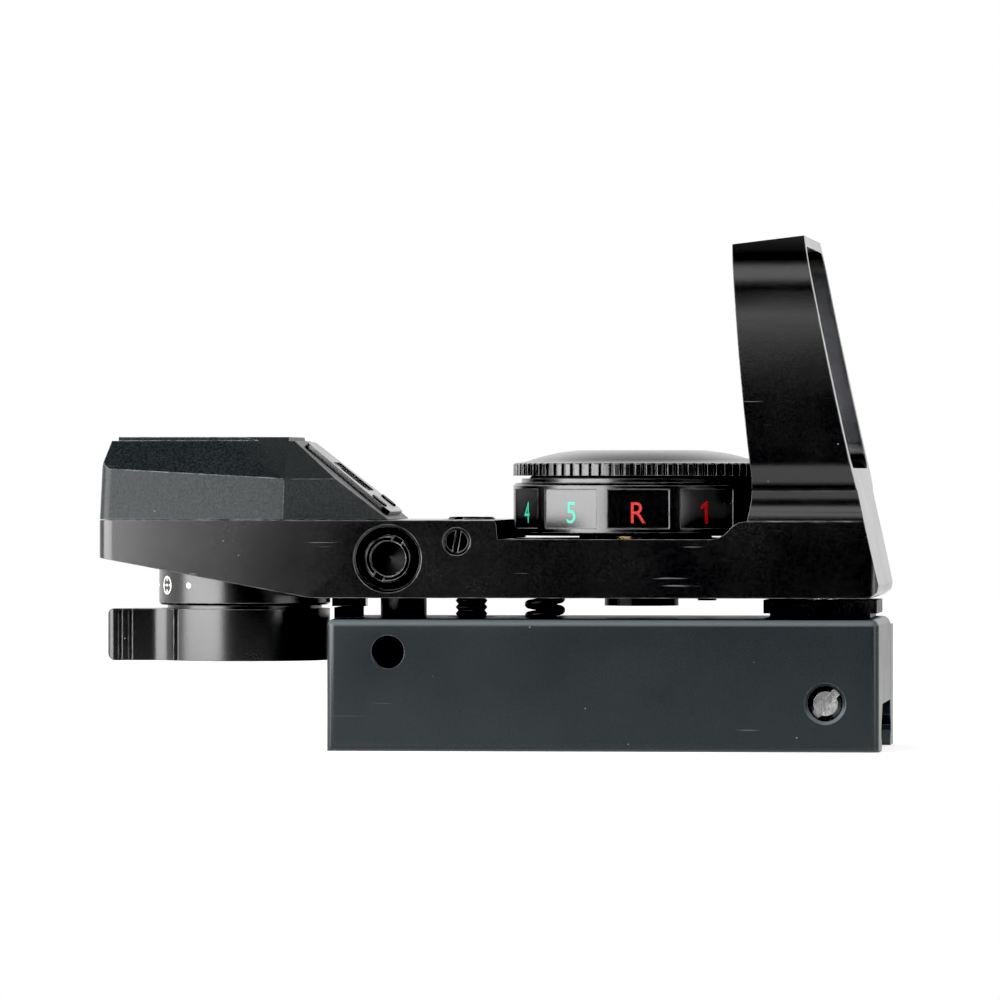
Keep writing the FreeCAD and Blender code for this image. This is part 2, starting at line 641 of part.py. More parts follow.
# ---------------------------------------------------------------- the emitter and its cover
def facet(points, toward):
    """A plane through three points, with its normal turned towards the given direction."""
    a, b, c = [V(*p) for p in points]
    normal = (b - a).cross(c - a).normalize()
    if normal.dot(V(*toward)) < 0:
        normal = normal * -1
    return a, normal


def cover_planes():
    """The cover's outer faces as (point, outward normal)."""
    rear_half = REAR_HALF_WIDTH - 0.25
    front_half = HEAD_HALF_WIDTH - 0.5
    rise = COVER_TOP - DECK_Z
    planes = []
    for side in (-1, 1):
        outward = (0.4, side, 0.4)
        rear_crease = (HEAD_REAR_X, side * (rear_half - 0.3), COVER_CREASE_REAR)
        front_crease = (CORNER_START_X, side * (front_half - 0.28), COVER_CREASE_FRONT)
        foot = (CORNER_START_X, side * front_half, DECK_Z)
        tip = (FACE_FOOT_X, side * FACE_FOOT_HALF, DECK_Z)
        tip_above = (FACE_FOOT_X, side * (FACE_FOOT_HALF - 0.2), COVER_CREASE_FRONT)
        top = (FACE_TOP_X, side * FACE_TOP_HALF, COVER_TOP)
        inward = side * UPPER_LEAN * (COVER_TOP - COVER_CREASE_FRONT)
        top_side = (CORNER_START_X, side * (front_half - 0.28) - inward, COVER_TOP)
        planes.append(facet((rear_crease, front_crease, foot), (0, side, 0)))
        planes.append(facet((rear_crease, front_crease, top_side), outward))
        planes.append(facet((foot, tip, tip_above), outward))
        planes.append(facet((front_crease, tip_above, top), outward))
    planes.append((V(HEAD_REAR_X + 0.05, 0, DECK_Z), V(-1, 0, 0.04)))
    planes.append((V(HEAD_REAR_X + 0.28, 0, COVER_CREASE_REAR), V(-1, 0, 0.25)))
    planes.append((V(0, 0, COVER_TOP), V(0, 0, 1)))
    planes.append((V(FACE_FOOT_X, 0, DECK_Z), V(rise, 0, FACE_FOOT_X - FACE_TOP_X)))
    return planes


def face_normal():
    """The outward normal of the cover's sloping front face."""
    return (COVER_TOP - DECK_Z, 0, FACE_FOOT_X - FACE_TOP_X)


def on_face(x, y, lift):
    """A point on the sloping face at a given x and y, lifted off it along its normal."""
    normal = V(*face_normal()).normalize()
    slope = (COVER_TOP - DECK_Z) / (FACE_TOP_X - FACE_FOOT_X)
    return V(x, y, DECK_Z + (x - FACE_FOOT_X) * slope) + normal * lift


def plate_on_face(x_low, x_high, half_low, half_high, lift, thickness):
    """A plate lying on the sloping face; its half-width goes from half_low to half_high."""
    corners = [
        on_face(x_low, -half_low, lift),
        on_face(x_high, -half_high, lift),
        on_face(x_high, half_high, lift),
        on_face(x_low, half_low, lift),
    ]
    plate = Part.Face(Part.makePolygon(corners + corners[:1]))
    return plate.extrude(V(*face_normal()).normalize() * thickness)


def across_face(edge):
    """True for the short edges of a plate on the sloping face, those along its normal."""
    a, b = edge.Vertexes[0].Point, edge.Vertexes[-1].Point
    return abs((a - b).normalize().dot(V(*face_normal()).normalize())) > 0.99


def rear_cover():
    """The faceted shell over the emitter."""
    block = box(HEAD_REAR_X - 5, -15, -30, 30, DECK_Z + 0.05, 60)
    outer = cut_by_planes(block, cover_planes())
    rear = edges_where(outer, lambda e: vertical(e) and e.Vertexes[0].Point.x < HEAD_REAR_X + 2)
    outer = outer.makeFillet(REAR_CORNER_R - 0.2, rear)
    panel = box(-52.85, FACE_TOP_X - 0.6, -9.0, 9.0, COVER_TOP - 1, COVER_TOP + PANEL_RISE)
    sides = [plane for plane in cover_planes() if plane[1].z < 0.999]
    panel = cut_by_planes(panel, sides)
    outer = outer.fuse(panel).removeSplitter()
    inner = cut_by_planes(box(-60, -15, -30, 30, DECK_Z - 1, 60), cover_planes(), COVER_WALL)
    shell = outer.cut(inner)
    for x, y in screw_places():
        boss = rod_z(x, y, DECK_Z + 0.05, COVER_TOP, 2.1).common(outer)
        shell = shell.fuse(boss)
        shell = shell.cut(rod_z(x, y, DECK_Z, 22.9, 0.85))
    shell = shell.cut(plate_on_face(APERTURE_REAR_X, APERTURE_FRONT_X, 2.6, 2.6, -4, 6))
    return shell.removeSplitter()


def cover_screws():
    """Four screws up through the casting into the cover's bosses."""
    screws = []
    for x, y in screw_places():
        screw = rod_z(x, y, 16.65, 22.8, 0.85).fuse(rod_z(x, y, 15.4, 16.55, 1.85))
        screw = screw.fuse(rod_z(x, y, 16.5, 16.7, 0.85)).removeSplitter()
        slots = box(x - 1.0, x + 1.0, y - 0.2, y + 0.2, 15, 15.9)
        slots = slots.fuse(box(x - 0.2, x + 0.2, y - 1.0, y + 1.0, 15, 15.9))
        screws.append(screw.cut(slots))
    return Part.makeCompound(screws)


def bezel_screw_places():
    return [(-25.4, -4.4), (-25.4, 4.4)]


def window_bezel():
    """The raised plate on the sloping face; it frames the emitter's window."""
    plate = plate_on_face(-33.3, -24.0, 3.9, 6.9, 0.02, BEZEL_THICK)
    plate = plate.makeFillet(0.8, edges_where(plate, across_face))
    rear_x, front_x = APERTURE_REAR_X - 0.6, APERTURE_FRONT_X + 0.6
    plate = plate.cut(plate_on_face(rear_x, front_x, 3.2, 3.2, BEZEL_RECESS, 2))
    plate = plate.cut(plate_on_face(APERTURE_REAR_X, APERTURE_FRONT_X, 2.6, 2.6, -1, 3))
    for x, y in bezel_screw_places():
        seat = on_face(x, y, BEZEL_RECESS)
        plate = plate.cut(Part.makeCylinder(1.05, 2, seat, V(*face_normal())))
    return plate


def bezel_screws():
    screws = []
    for x, y in bezel_screw_places():
        head = Part.makeCylinder(0.95, 0.45, on_face(x, y, BEZEL_RECESS + 0.02), V(*face_normal()))
        slot = plate_on_face(x - 1.0, x + 1.0, 0.2, 0.2, BEZEL_RECESS + 0.3, 1)
        slot.translate(V(0, y, 0))
        screws.append(head.cut(slot))
    return Part.makeCompound(screws)


def emitter_window():
    rear_x, front_x = APERTURE_REAR_X - 0.5, APERTURE_FRONT_X + 0.5
    return plate_on_face(rear_x, front_x, 3.1, 3.1, BEZEL_RECESS + 0.02, 0.24)


def led_bracket():
    """A bridge over the reticle drum, with a tongue that holds the emitter inside it."""
    legs = [box(-43.5, -40.5, y0, y1, POCKET_FLOOR, 25.0) for y0, y1 in ((-10.6, -8.4), (8.4, 10.6))]
    bridge = box(-43.5, -40.5, -10.6, 10.6, 24.1, 25.0)
    tongue = box(-42.6, -41.6, -4.2, 4.2, 18.3, 24.2)
    return legs[0].multiFuse([legs[1], bridge, tongue]).removeSplitter()


def led_board():
    return box(-41.6, -40.8, -4.0, 4.0, 18.4, 24.0)


def led_chip():
    """The light emitting diode: a square base with a domed lens."""
    base = box(-40.8, -40.1, -1.5, 1.5, 18.9, 21.9)
    dome = Part.makeSphere(1.1, V(-40.1, 0, 20.4)).cut(box(-45, -40.1, -3, 3, 15, 25))
    return base.fuse(dome)


def reticle_drum():
    """A thin cup around the emitter, with one small mask hole for each reticle."""
    cup = rod_z(SELECTOR_X, 0, POCKET_FLOOR + 0.35, 23.6, RETICLE_DRUM_R)
    cup = cup.cut(rod_z(SELECTOR_X, 0, POCKET_FLOOR + 1.0, 24, RETICLE_DRUM_R - 0.7))
    for step in (-1, 0, 1, 2):
        hole = Part.makeCylinder(0.7, 12, V(SELECTOR_X, 0, 20.6), V(1, 0, 0.18))
        hole.rotate(V(SELECTOR_X, 0, 0), V(0, 0, 1), -step * RETICLE_STEP)
        cup = cup.cut(hole)
    return cup.cut(rod_z(SELECTOR_X, 0, 16, 18, 2.0))


def selector_collar():
    """The fixed drum under the housing that carries the reticle marks."""
    drum = revolve_z(
        SELECTOR_X,
        0,
        [
            (2.1, COLLAR_BOTTOM),
            (SEAL_RING_R - 0.5, COLLAR_BOTTOM),
            (SEAL_RING_R - 0.5, SEAL_RING_LOW),
            (SEAL_RING_R, SEAL_RING_LOW),
            (SEAL_RING_R, COLLAR_BOTTOM),
            (SELECTOR_R - 0.25, COLLAR_BOTTOM),
            (SELECTOR_R, COLLAR_BOTTOM + 0.25),
            (SELECTOR_R, 17.5),
            (2.1, 17.5),
        ],
    )
    # The drum ends at the casting's sloping underside, and a spigot goes on up through it
    drop = SLOPE_REAR_Z - HEAD_BOTTOM
    run = SLOPE_END_X - HEAD_REAR_X
    drum = cut_by_planes(drum, [((SLOPE_END_X, 0, HEAD_BOTTOM - 0.02), (drop, 0, run))])
    drum = drum.cut(box(SLOPE_END_X, 0, -20, 20, HEAD_BOTTOM - 0.02, 20))
    spigot = rod_z(SELECTOR_X, 0, COLLAR_BOTTOM + 0.3, POCKET_FLOOR, 6.95)
    drum = drum.fuse(spigot).removeSplitter()
    drum = drum.cut(rod_z(SELECTOR_X, 0, 8, 20, 2.1))
    return drum.cut(rod_z(SELECTOR_X + 5.6, 0, 8, 14.2, 1.05))


def selector_detent():
    """The ball and spring that click the selector into place."""
    x = SELECTOR_X + 5.6
    spring = coil(0.75, 0.16, 0.5, 1.5)
    spring.translate(V(x, 0, 12.4))
    return Part.makeSphere(1.0, V(x, 0, COLLAR_BOTTOM + 0.75)), spring


def selector_lever():
    """The round thumb wheel with its paddle, ribbed across the end."""
    hub = rod_z(SELECTOR_X, 0, SELECTOR_BOTTOM, SELECTOR_TOP, SELECTOR_R)
    x0 = SELECTOR_X
    flank = 3.1
    blend_r = 2.6
    reach_y = flank + blend_r
    root = math.sqrt((SELECTOR_R + blend_r) ** 2 - reach_y**2)
    web = [(x0 - root, -reach_y), (x0, -reach_y), (x0, reach_y), (x0 - root, reach_y)]
    paddle = prism_xy(web, SELECTOR_BOTTOM, SELECTOR_TOP)
    for side in (-1, 1):
        hollow = rod_z(x0 - root, side * reach_y, SELECTOR_BOTTOM - 1, SELECTOR_TOP + 1, blend_r)
        paddle = paddle.cut(hollow)
    tip = x0 - PADDLE_REACH
    bar = box(tip, x0 - root + 0.3, -flank, flank, SELECTOR_BOTTOM, SELECTOR_TOP)
    bar = bar.makeFillet(0.7, edges_where(bar, lambda e: all(v.Point.x < tip + 0.01 for v in e.Vertexes)))
    lever = hub.multiFuse([paddle, bar]).removeSplitter()
    # A groove for the ring under the collar, which keeps dirt out of the bearing
    groove = rod_z(x0, 0, SEAL_RING_LOW - 0.3, SELECTOR_TOP + 1, SEAL_RING_R + 0.3)
    lever = lever.cut(groove.cut(rod_z(x0, 0, 0, SELECTOR_TOP + 1, SEAL_RING_R - 0.8)))
    for y in (-1.8, -0.6, 0.6, 1.8):
        lever = lever.cut(box(tip - 1, tip + 0.4, y - 0.25, y + 0.25, SELECTOR_BOTTOM - 1, SELECTOR_TOP + 1))
    for x in (tip + 1.3, tip + 2.4):
        for side in (-1, 1):
            edge = side * flank
            groove = box(x - 0.2, x + 0.2, edge - 0.25, edge + 0.25, SELECTOR_BOTTOM - 1, SELECTOR_TOP + 1)
            lever = lever.cut(groove)
    lever = lever.cut(rod_z(x0, 0, 4, 12, 2.0))
    lever = lever.cut(rod_z(x0, 0, 4, SELECTOR_BOTTOM + 1.4, 3.6))
    lever.rotate(V(x0, 0, 0), V(0, 0, 1), PADDLE_ANGLE)
    for step in (-1, 0, 1, 2):
        angle = math.radians(step * RETICLE_STEP)
        x, y = x0 + 5.6 * math.cos(angle), -5.6 * math.sin(angle)
        lever = lever.cut(Part.makeSphere(1.0, V(x, y, SELECTOR_TOP + 0.7)))
    return lever


def selector_shaft():
    shaft = rod_z(SELECTOR_X, 0, SELECTOR_BOTTOM + 1.5, POCKET_FLOOR + 1.3, 2.0)
    return shaft.cut(rod_z(SELECTOR_X, 0, 5, 12, 1.0))


def selector_screw():
    z = SELECTOR_BOTTOM
    screw = rod_z(SELECTOR_X, 0, z + 0.3, z + 1.4, 3.4).fuse(rod_z(SELECTOR_X, 0, z + 1.3, 11.8, 1.0))
    return screw.removeSplitter().cut(box(SELECTOR_X - 4, SELECTOR_X + 4, -0.4, 0.4, z, z + 0.8))


def led_wires():
    """Two insulated wires from the switch board to the emitter board."""
    wires = []
    for y in (8.6, 9.8):
        points = [
            (1.8, y, 16.5),
            (-12.9, y, 16.5),
            (-15.6, y, 18.2),
            (-33.6, y, 18.2),
            (-35.6, y, 21.6),
            (-37.0, y, 24.9),
            (-38.6, y - 6.2, 24.9),
            (-40.35, y - 6.2, 23.3),
        ]
        wires.append(wire_along([V(*p) for p in points], 0.35))
    return Part.makeCompound(wires)


def wire_along(points, radius):
    """A round wire along straight runs joined by tangent arcs."""
    edges = []
    start = points[0]
    for before, corner, after in zip(points, points[1:], points[2:]):
        into, out = (before - corner).normalize(), (after - corner).normalize()
        run = min((before - corner).Length, (after - corner).Length) * 0.45
        a, b = corner + into * run, corner + out * run
        half = into.getAngle(out) / 2
        middle = corner + (into + out).normalize() * (run / math.cos(half) - run * math.tan(half))
        edges += [Part.makeLine(start, a), Part.Arc(a, middle, b).toShape()]
        start = b
    edges.append(Part.makeLine(start, points[-1]))
    path = Part.Wire(edges)
    ring = Part.Wire(Part.makeCircle(radius, points[0], points[1] - points[0]))
    return path.makePipeShell([ring], True, False)


# ---------------------------------------------------------------- the brightness dial
def detent_place():
    return DIAL_X + 6.4, 10.0


def dial_board():
    ring = rod_z(DIAL_X, 0, 16.35, 17.15, 9.4).cut(rod_z(DIAL_X, 0, 16, 18, 3.0))
    return ring.cut(box(-14, DIAL_X - 0.9, 7.4, 12, 16, 18))


def dial_detent():
    """Ball, spring and plug of the dial's clicks."""
    x, y = detent_place()
    ball = Part.makeSphere(1.0, V(x, y, DIAL_BOTTOM - 1.05))
    spring = coil(0.75, 0.16, 0.7, 2.6)
    spring.translate(V(x, y, 13.1))
    plug = rod_z(x, y, 10.75, 12.85, 1.05).cut(box(x - 2, x + 2, y - 0.2, y + 0.2, 10, 11.2))
    return ball, spring, plug


def dial_drum():
    """The numbered drum; its faces are shallow flat windows, one for each setting."""
    r = DIAL_R
    outline = [
        (2.0, DIAL_BOTTOM),
        (r - 0.35, DIAL_BOTTOM),
        (r, DIAL_BOTTOM + 0.35),
        (r, 23.35),
        (r - 0.25, 23.6),
        (r - 0.9, 23.65),
        (r - 0.9, DIAL_TOP),
        (12.5, DIAL_TOP),
        (12.5, 23.4),
        (CAP_THREAD_R + 0.1, 23.4),
        (CAP_THREAD_R + 0.1, 22.75),
        (CELL_R + 0.25, 22.75),
        (CELL_R + 0.25, CELL_FLOOR),
        (2.0, CELL_FLOOR),
    ]
    drum = revolve_z(DIAL_X, 0, outline)
    step = 360.0 / DIAL_POSITIONS
    flat = r - 0.52
    for i in range(DIAL_POSITIONS):
        window = box(-3.3, 3.3, -r - 2, -flat, 18.75, 22.95)
        window.rotate(V(0, 0, 0), V(0, 0, 1), i * step + DIAL_PHASE)
        window.translate(V(DIAL_X, 0, 0))
        drum = drum.cut(window)
        x, y = detent_place()
        dimple = Part.makeSphere(1.1, V(x, y, DIAL_BOTTOM - 0.75))
        dimple.rotate(V(DIAL_X, 0, 0), V(0, 0, 1), i * step)
        drum = drum.cut(dimple)
    return drum


def dial_spindle():
    """The shouldered screw that the dial turns on; its head shows under the casting."""
    z = HEAD_BOTTOM
    screw = rod_z(DIAL_X, 0, z - 1.0, z - 0.1, 4.0).fuse(rod_z(DIAL_X, 0, z - 0.2, CELL_FLOOR, 2.0))
    screw = screw.removeSplitter()
    return screw.cut(box(DIAL_X - 5, DIAL_X + 5, -0.45, 0.45, z - 2, z - 0.6))


def dial_wiper():
    """The sprung contact under the dial that wipes over the switch board."""
    ring = rod_z(DIAL_X, 0, 17.55, DIAL_BOTTOM, 5.0).cut(rod_z(DIAL_X, 0, 17, 18, 2.0))
    arms = []
    for i in range(3):
        arm = box(4.5, 7.8, -0.6, 0.6, 17.6, 17.85).fuse(box(7.0, 7.8, -0.6, 0.6, 17.25, 17.85))
        arm.rotate(V(0, 0, 0), V(0, 0, 1), 30 + 120 * i)
        arm.translate(V(DIAL_X, 0, 0))
        arms.append(arm)
    return ring.multiFuse(arms).removeSplitter()


def battery_contact():
    ring = rod_z(DIAL_X, 0, CELL_FLOOR, CELL_FLOOR + 0.12, 4.5).cut(rod_z(DIAL_X, 0, 19, 20, 2.2))
    return ring


def coin_cell():
    low = CELL_FLOOR + 0.15
    outline = [
        (0, low),
        (8.4, low),
        (8.7, low + 0.35),
        (9.7, low + 0.35),
        (CELL_R, low + 0.65),
        (CELL_R, low + CELL_THICKNESS - 0.25),
        (CELL_R - 0.25, low + CELL_THICKNESS),
        (0, low + CELL_THICKNESS),
    ]
    return revolve_z(DIAL_X, 0, outline)


def battery_cap():
    """The screw-in battery cover: a knurled ring with a low dome and a coin slot."""
    outline = [
        (0, 22.9),
        (CAP_THREAD_R, 22.9),
        (CAP_THREAD_R, CAP_RING_Z),
        (DIAL_R, CAP_RING_Z),
        (DIAL_R, CAP_EDGE_Z - 0.1),
        (DIAL_R - 0.25, CAP_EDGE_Z),
        (DIAL_R - 1.3, CAP_EDGE_Z + 0.15),
    ]
    dome = []
    for part in (0.9, 0.75, 0.6, 0.45, 0.3, 0.15):
        radius = CAP_FLAT_R + part * (DIAL_R - 1.3 - CAP_FLAT_R)
        dome.append((radius, CAP_TOP_Z - 0.05 - part**1.7 * (CAP_TOP_Z - CAP_EDGE_Z - 0.2)))
    cap = revolve_z(DIAL_X, 0, outline + dome + [(CAP_FLAT_R, CAP_TOP_Z), (0, CAP_TOP_Z)])
    teeth = []
    low, high = DIAL_R - 0.38, DIAL_R + 0.1
    for i in range(KNURL_TEETH):
        for part, r in ((0.0, low), (0.28, low), (0.42, high), (0.86, high)):
            angle = 2 * math.pi * (i + part) / KNURL_TEETH
            teeth.append((DIAL_X + r * math.cos(angle), r * math.sin(angle)))
    cap = cap.common(prism_xy(teeth, 20, 30))
    slot = box(DIAL_X - 6.2, DIAL_X + 6.2, -0.9, 0.9, CAP_TOP_Z - 0.9, CAP_TOP_Z + 1)
    return cap.cut(slot)


def cap_seal():
    return Part.makeTorus(CAP_THREAD_R + 0.35, 0.35, V(DIAL_X, 0, CAP_RING_Z - 0.35), V(0, 0, 1))


# ---------------------------------------------------------------- every node
def all_nodes():
    selector_ball, selector_spring = selector_detent()
    dial_ball, dial_spring, dial_plug = dial_detent()
    return {
        "base_block": base_block(),
        "windage_post": windage_post(),
        "post_pin": post_pin(),
        "pin_sleeves": pin_sleeves(),
        "pivot_pin": pivot_pin(),
        "lift_spring": lift_spring(),
        "rail_jaw": rail_jaw(),
        "front_clamp_screw": clamp_screw(CLAMP_X, -15.0, 48),
        "rear_clamp_screw": clamp_screw(CLAMP_REAR_X, -13.2, 20),
        "pivot_block": pivot_block(),
        "yaw_pin": yaw_pin(),
        "elevation_nut": elevation_nut(),
        "elevation_screw": elevation_screw(),
        "windage_screw": windage_screw(),
        "windage_pusher": windage_pusher(),
        "windage_plunger": windage_plunger(),
        "plunger_spring": plunger_spring(),
        "plunger_plug": plunger_plug(),
        "lock_screw": lock_screw(),
        "lock_slug": lock_slug(),
        "main_housing": main_housing(),
        "lens_front": lens_front(),
        "lens_rear": lens_rear(),
        "lens_gasket": lens_gasket(),
        "rear_cover": rear_cover(),
        "cover_screws": cover_screws(),
        "window_bezel": window_bezel(),
        "bezel_screws": bezel_screws(),
        "emitter_window": emitter_window(),
        "led_bracket": led_bracket(),
        "led_board": led_board(),
        "led_chip": led_chip(),
        "led_wires": led_wires(),
        "selector_collar": selector_collar(),
        "selector_detent_ball": selector_ball,
        "selector_detent_spring": selector_spring,
        "selector_lever": selector_lever(),
        "selector_shaft": selector_shaft(),
        "selector_screw": selector_screw(),
        "reticle_drum": reticle_drum(),
        "dial_board": dial_board(),
        "dial_detent_ball": dial_ball,
        "dial_detent_spring": dial_spring,
        "dial_detent_plug": dial_plug,
        "dial_drum": dial_drum(),
        "dial_spindle": dial_spindle(),
        "dial_wiper": dial_wiper(),
        "battery_contact": battery_contact(),
        "coin_cell": coin_cell(),
        "battery_cap": battery_cap(),
        "cap_seal": cap_seal(),
    }


def main():
    os.makedirs("parts", exist_ok=True)
    for name, shape in all_nodes().items():
        print(name, "solids", len(shape.Solids), "valid", shape.isValid(), "volume", round(shape.Volume, 2))
        shape.exportStep(f"parts/{name}.step")


main()
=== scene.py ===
import json
import math

import bmesh
import bpy
from mathutils import Matrix, Vector

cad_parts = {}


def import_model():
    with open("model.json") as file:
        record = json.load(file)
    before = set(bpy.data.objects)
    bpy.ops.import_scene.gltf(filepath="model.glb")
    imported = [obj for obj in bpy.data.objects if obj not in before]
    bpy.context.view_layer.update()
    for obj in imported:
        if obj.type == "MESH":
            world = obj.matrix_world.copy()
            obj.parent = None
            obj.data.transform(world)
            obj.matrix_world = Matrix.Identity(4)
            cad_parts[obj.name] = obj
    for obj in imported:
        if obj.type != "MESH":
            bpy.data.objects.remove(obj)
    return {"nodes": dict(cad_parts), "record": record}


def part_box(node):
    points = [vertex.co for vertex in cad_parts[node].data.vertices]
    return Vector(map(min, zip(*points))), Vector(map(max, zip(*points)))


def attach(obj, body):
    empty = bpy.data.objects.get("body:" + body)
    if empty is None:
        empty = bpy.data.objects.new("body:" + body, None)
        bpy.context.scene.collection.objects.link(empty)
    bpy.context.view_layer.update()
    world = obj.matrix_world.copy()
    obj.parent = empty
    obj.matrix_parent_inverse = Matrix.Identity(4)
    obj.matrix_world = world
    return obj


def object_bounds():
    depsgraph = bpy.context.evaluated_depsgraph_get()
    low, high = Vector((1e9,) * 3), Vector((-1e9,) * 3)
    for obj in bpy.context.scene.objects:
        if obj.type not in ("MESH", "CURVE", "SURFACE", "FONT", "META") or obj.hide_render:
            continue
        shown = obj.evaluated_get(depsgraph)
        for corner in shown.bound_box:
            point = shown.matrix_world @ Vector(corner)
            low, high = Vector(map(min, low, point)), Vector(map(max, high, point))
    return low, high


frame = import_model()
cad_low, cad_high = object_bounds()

# Everything is in metres, in the CAD frame: +X is the way the user looks, +Z is up.
MM = 0.001

NODES = frame["nodes"]
SLOT_OF = {part["node"]: part["material_slot"] for part in frame["record"]["subparts"]}

# Dial faces, one for each setting, going round from the one that faces the near side
DIAL_MARKS = ["R", "1", "2", "3", "4", "5", "1", "2", "3", "4", "5"]
RED_MARKS = 6
DIAL_FACE_R = 13.38 * MM
DIAL_PHASE = math.radians(3.0)
MARK_HEIGHT = 3.3 * MM
MARK_DEPTH = 0.04 * MM
MARK_Z = 20.45 * MM
# A mark's width against the plain letter's, and a capital's height against the letter size
MARK_NARROWING = 0.9
CAPITAL_PART = 0.72
# The figure 1 with its flag, as parts of its height
ONE_OUTLINE = [(-0.08, 0), (0.08, 0), (0.08, 1), (-0.04, 1), (-0.3, 0.8), (-0.3, 0.63), (-0.08, 0.76)]

# Reticle marks round the selector's collar, by their angle from the near side towards the rear
COLLAR_R = 9.3 * MM
ICON_ANGLES = [33.3, 57.3, 81.3, 105.3]
ICON_Z = 12.55 * MM
ICON_R = 1.0 * MM
ICON_STROKE = 0.2 * MM
ICON_DEPTH = 0.03 * MM
ICON_DOT_R = 0.33 * MM
ICON_CENTRE_R = 0.16 * MM
# Where each mark's four bars start and end, as parts of the mark's radius
ICON_BARS = [[], [(0.45, 0.8)], [(0.38, 1.0)], [(0.1, 0.8), (1.0, 1.25)]]
CIRCLE_STEPS = 48
BAR_STEPS = 4

# Places that get painted shade
DIAL_AXIS_X = 3.0 * MM
SCOOP_R = 14.35 * MM
STEP_X = -11.3 * MM
DECK_Z = 19.65 * MM
HEAD_HALF_WIDTH = 16.3 * MM
BASE_TOP = 9.15 * MM
# In front of the stop pad, the only thing of the base's own that stands above its top
PAD_LIMIT_X = -20.0 * MM
# Distances from a recess wall where its painted shade starts, is full, starts to fade and ends
SCOOP_BAND = (-0.3 * MM, -0.2 * MM, 0.1 * MM, 0.15 * MM)
STEP_BAND = (-0.3 * MM, -0.25 * MM, 0.25 * MM, 0.3 * MM)

# Surfaces: rounding of the edges, wear and painted highlight beside them, scratches and dust
SMOOTH_ANGLE = math.radians(28)
MERGE_DISTANCE = 0.001 * MM
BEVEL_SAMPLES = 4
EDGE_RADIUS = 0.13 * MM
SMALL_EDGE_RADIUS = 0.05 * MM
TURNED_EDGE_RADIUS = 0.06 * MM
MOULDED_EDGE_RADIUS = 0.08 * MM
WEAR_AND_HIGHLIGHT_WIDTH = 0.16 * MM
WEAR_AND_HIGHLIGHT_PATCH = 1.3 * MM
NOISE_ROUGHNESS = 0.55
SCRATCH_WIDTH = 0.35 * MM
SCRATCH_STRETCH = (0.03, 1.0, 1.0)
# Turns the noise under the scratches away from its own grid
SCRATCH_NOISE_TURN = (0, math.radians(28), 0)
SCRATCH_PATCH = 7 * MM
SPECK_SPACING = 1.5 * MM
SPECK_COLOUR = (0.5, 0.5, 0.48)
BARE_CELLS = 0.82

# The view: the camera stands off the near side, a little towards the front
CAMERA_AT = Vector((0.0738, -0.8959, 0.0249))
CAMERA_AIM = Vector((-0.0124, 0.0, 0.02176))
LENS_MM = 298.7
SENSOR_MM = 36.0
CLIP_START = 0.01
BLACK_LEVEL = 0.0125

# The floor ends a little in front of the object, so that the upright faces mirror little of it
FLOOR_HALF_WIDTH = 1.2
FLOOR_NEAR = -0.1
FLOOR_FAR = 1.2
FLOOR_GAP = 0.02 * MM
FLOOR_GLOW = 0.6
LIGHT_AIM = (0.0, 0.0, 0.02)


# ------------------------------------------------------------------ node helpers
class Nodes:
    """A node tree with short calls for the nodes that this scene uses."""

    def __init__(self, tree):
        self.tree = tree

    def node(self, kind, **settings):
        made = self.tree.nodes.new(kind)
        for key, value in settings.items():
            setattr(made, key, value)
        return made

    def link(self, source, target):
        self.tree.links.new(source, target)

    def span(self, value, low, high, to_low=0.0, to_high=1.0):
        """Maps low..high to to_low..to_high, held at both ends."""
        made = self.node("ShaderNodeMapRange")
        numbers = (low, high, to_low, to_high)
        for socket, number in zip(("From Min", "From Max", "To Min", "To Max"), numbers):
            made.inputs[socket].default_value = number
        self.link(value, made.inputs["Value"])
        return made.outputs["Result"]

    def math(self, operation, first, second=0.0):
        made = self.node("ShaderNodeMath", operation=operation)
        for socket, value in zip(made.inputs, (first, second)):
            if isinstance(value, (int, float)):
                socket.default_value = value
            else:
                self.link(value, socket)
        return made.outputs["Value"]

    def dot(self, first):
        """A dot product whose second vector is still to be given."""
        made = self.node("ShaderNodeVectorMath", operation="DOT_PRODUCT")
        self.link(first, made.inputs[0])
        return made

    def split(self, vector):
        """The x, y and z of a vector."""
        made = self.node("ShaderNodeSeparateXYZ")
        self.link(vector, made.inputs["Vector"])
        return made.outputs["X"], made.outputs["Y"], made.outputs["Z"]


